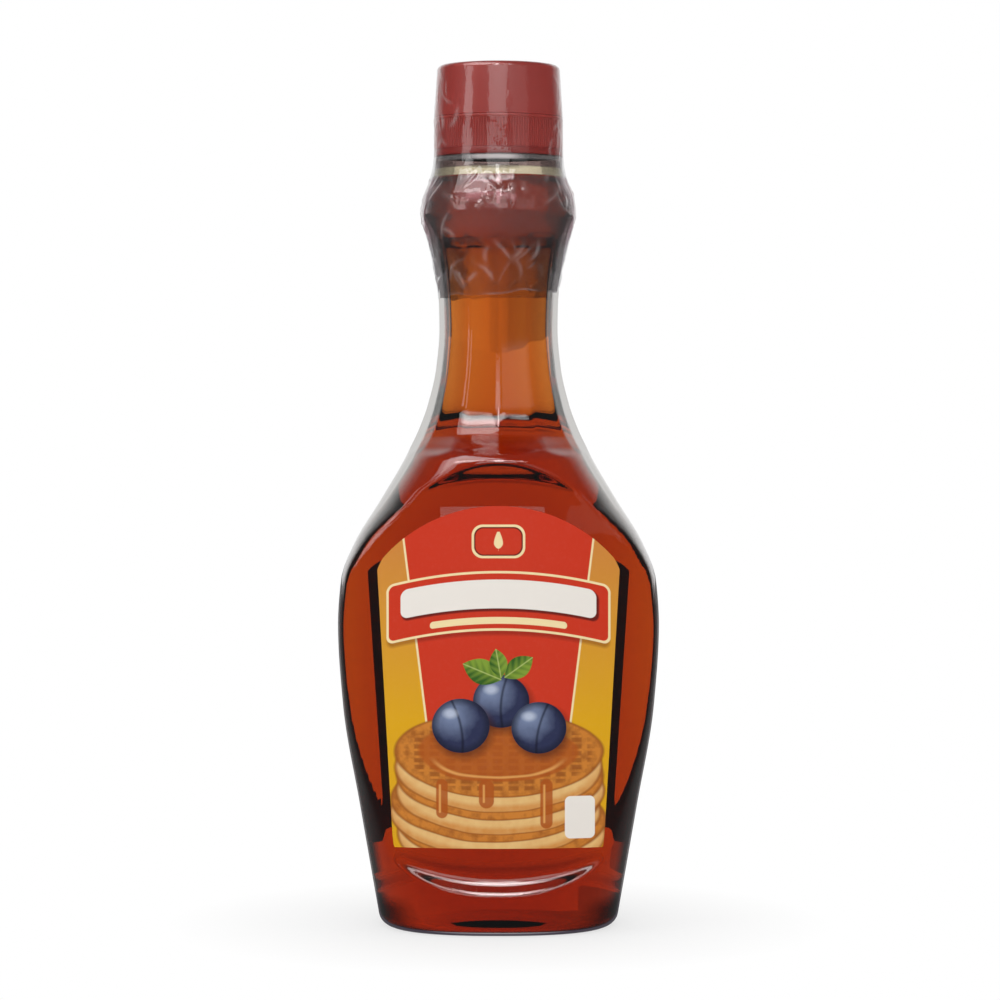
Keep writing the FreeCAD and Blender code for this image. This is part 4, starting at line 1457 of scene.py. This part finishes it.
@dataclass(frozen=True)
class Studio:
    """Floor, world, lamps and camera."""

    camera_distance: float = 1.04
    camera_height: float = 0.1525
    camera_side: float = 0.00045
    aim_height: float = 0.1267
    lens: float = 125.0
    shadow_reach: float = 62.0
    shadow_depth: float = 0.35
    floor_reach: float = 8000.0
    floor_drop: float = 0.05
    dim_side: float = 0.62
    side_gain: float = 0.43
    beyond: float = 0.03
    backdrop_soft: float = 0.2
    surround: float = 0.42
    backdrop_half: float = 0.72
    lamps: tuple = (
        Lamp("front_fill", 5.0, 32.0, 1.5, 1.3, 1.2, 1.05),
        Lamp("left_fill", -65.0, 28.0, 1.4, 0.9, 1.2, 1.05),
        Lamp("right_fill", 75.0, 20.0, 1.4, 0.8, 1.2, 0.95),
        Lamp("back_fill", 180.0, 30.0, 1.5, 1.2, 1.2, 1.6),
        Lamp("left_strip", -56.0, 14.0, 1.4, 0.36, 0.52, 2.2, True),
        Lamp("front_strip", -2.0, 19.0, 1.4, 0.80, 0.52, 1.6, True),
        Lamp("right_strip", 38.0, 16.5, 1.4, 0.80, 0.48, 0.38, True),
        Lamp("high_strip", -14.0, 45.0, 1.4, 1.90, 0.26, 4.5, True, False),
        Lamp("top_left", -54.0, 56.0, 1.3, 1.0, 1.2, 3.0, True, False),
        Lamp("top_front", 0.0, 42.0, 1.3, 0.14, 0.7, 6.5, True, False))

    def build(self) -> None:
        """Build everything that isn't the object."""
        for lamp in self.lamps:
            lamp.build((0.0, 0.0, 0.13))
        self.world()
        self.floor()
        self.camera()

    def rays(self, dress: Dress) -> tuple[Sock, Sock, Sock]:
        """Tell the camera's rays, those that glass bent last and those that gloss sent back."""
        path = dress.node("ShaderNodeLightPath")
        camera, through, gloss = (Sock(dress, path.outputs[name]) for name in (
            "Is Camera Ray", "Is Transmission Ray", "Is Glossy Ray"))
        return camera, through, gloss * (1.0 - through)

    def world(self) -> None:
        """Give a white surround that lamps and gloss see dimmer than the camera does."""
        world = bpy.data.worlds.new("surround")
        bpy.context.scene.world = world
        dress = Dress(world)
        camera, through, gloss = self.rays(dress)
        way = dress.node("ShaderNodeSeparateXYZ", None, {
            0: dress.out("ShaderNodeTexCoord", output="Generated")})
        behind, beside = Sock(dress, way.outputs["Y"]), Sock(dress, way.outputs["X"])
        uneven = self.dim_side + self.side_gain * dress.clamped(0.5 + beside * 2.5)
        backdrop = dress.inside(abs(beside), self.backdrop_half, self.backdrop_soft)
        seen_through = self.beyond + (1.0 - self.beyond) * uneven * backdrop
        seen_in_gloss = 0.10 + 0.90 * dress.clamped((behind - 0.45) / 0.4)
        other = 1.0 - camera - through - gloss
        strength = camera + through * seen_through + gloss * seen_in_gloss + other * self.surround
        dress.finish(dress.out("ShaderNodeBackground", None, {
            "Color": (1.0, 1.0, 1.0, 1.0), "Strength": strength}))

    def floor(self) -> None:
        """Lay the pale floor, which keeps a soft shadow round the bottle's foot."""
        dress = new_dress("floor_white")
        camera, through, gloss = self.rays(dress)
        x, y, _ = dress.place()
        away = dress.math("SQRT", x * x + y * y)
        near = dress.inside(away, self.shadow_reach, self.shadow_reach * 1.2)
        matt = dress.out("ShaderNodeBsdfDiffuse", None, {"Color": (0.86, 0.86, 0.86, 1.0)})
        bright = dress.out("ShaderNodeEmission", None, {"Color": (1.0, 1.0, 1.0, 1.0), "Strength": 1.0})
        dim = dress.out("ShaderNodeEmission", None, {"Color": (0.1, 0.1, 0.1, 1.0), "Strength": 1.0})
        share = (camera + through) * (1.0 - near * self.shadow_depth)
        laid = dress.out("ShaderNodeMixShader", None, {0: share, 1: matt, 2: bright})
        material = dress.finish(dress.out("ShaderNodeMixShader", None, {0: gloss, 1: laid, 2: dim}))
        reach = self.floor_reach
        ends = ((-reach, -reach), (reach, -reach), (reach, reach), (-reach, reach))
        corners = np.array([(x, y, -self.floor_drop) for x, y in ends])
        floor = piece_of("floor", corners, [(0, 1, 2, 3)], [material])

    def camera(self) -> None:
        """Stand the camera."""
        data = bpy.data.cameras.new("camera")
        data.lens = self.lens
        data.sensor_width = 36.0
        data.clip_start, data.clip_end = 0.01, 50.0
        camera = bpy.data.objects.new("camera", data)
        camera.location = (self.camera_side, -self.camera_distance, self.camera_height)
        drop = math.atan2(self.camera_height - self.aim_height, self.camera_distance)
        camera.rotation_euler = (math.pi / 2 - drop, 0.0, 0.0)
        bpy.context.scene.collection.objects.link(camera)
        bpy.context.scene.camera = camera


def hand_over(piece: bpy.types.Object, node: str) -> None:
    """Let a finished piece stand for a CAD node.

    Args:
        piece: the finished piece.
        node: the CAD node that it replaces.
    """
    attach(piece, "root")
    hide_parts(node)
    LOG.info("%s stands for %s: %d faces", piece.name, node, len(piece.data.polygons))


def main() -> None:
    """Build the bottle and the studio round it."""
    logging.basicConfig(level=logging.INFO, format="%(name)s: %(message)s")
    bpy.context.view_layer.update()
    bpy.context.scene.view_settings.view_transform = "Standard"
    hand_over(Bottle().build(), "bottle")
    hand_over(SyrupFill().build(), "syrup")
    skirt, lid = Cap().build()
    hand_over(skirt, "cap_base")
    hand_over(lid, "cap_lid")
    reverse = PaperReverse().build()
    front = Label(Side.FRONT, "front_label").build(FrontPrint().build(), reverse)
    hand_over(front, "label_front")
    back = Label(Side.BACK, "back_label", inset=1.5, high=113.1, shoulder=107.0, shoulder_soft=9.0,
                 shoulder_turn=2.2).build(BackPrint().build(), reverse)
    hand_over(back, "label_back")
    hand_over(Film().build(), "shrink_film")
    Studio().build()


if __name__ == "__main__":
    main()
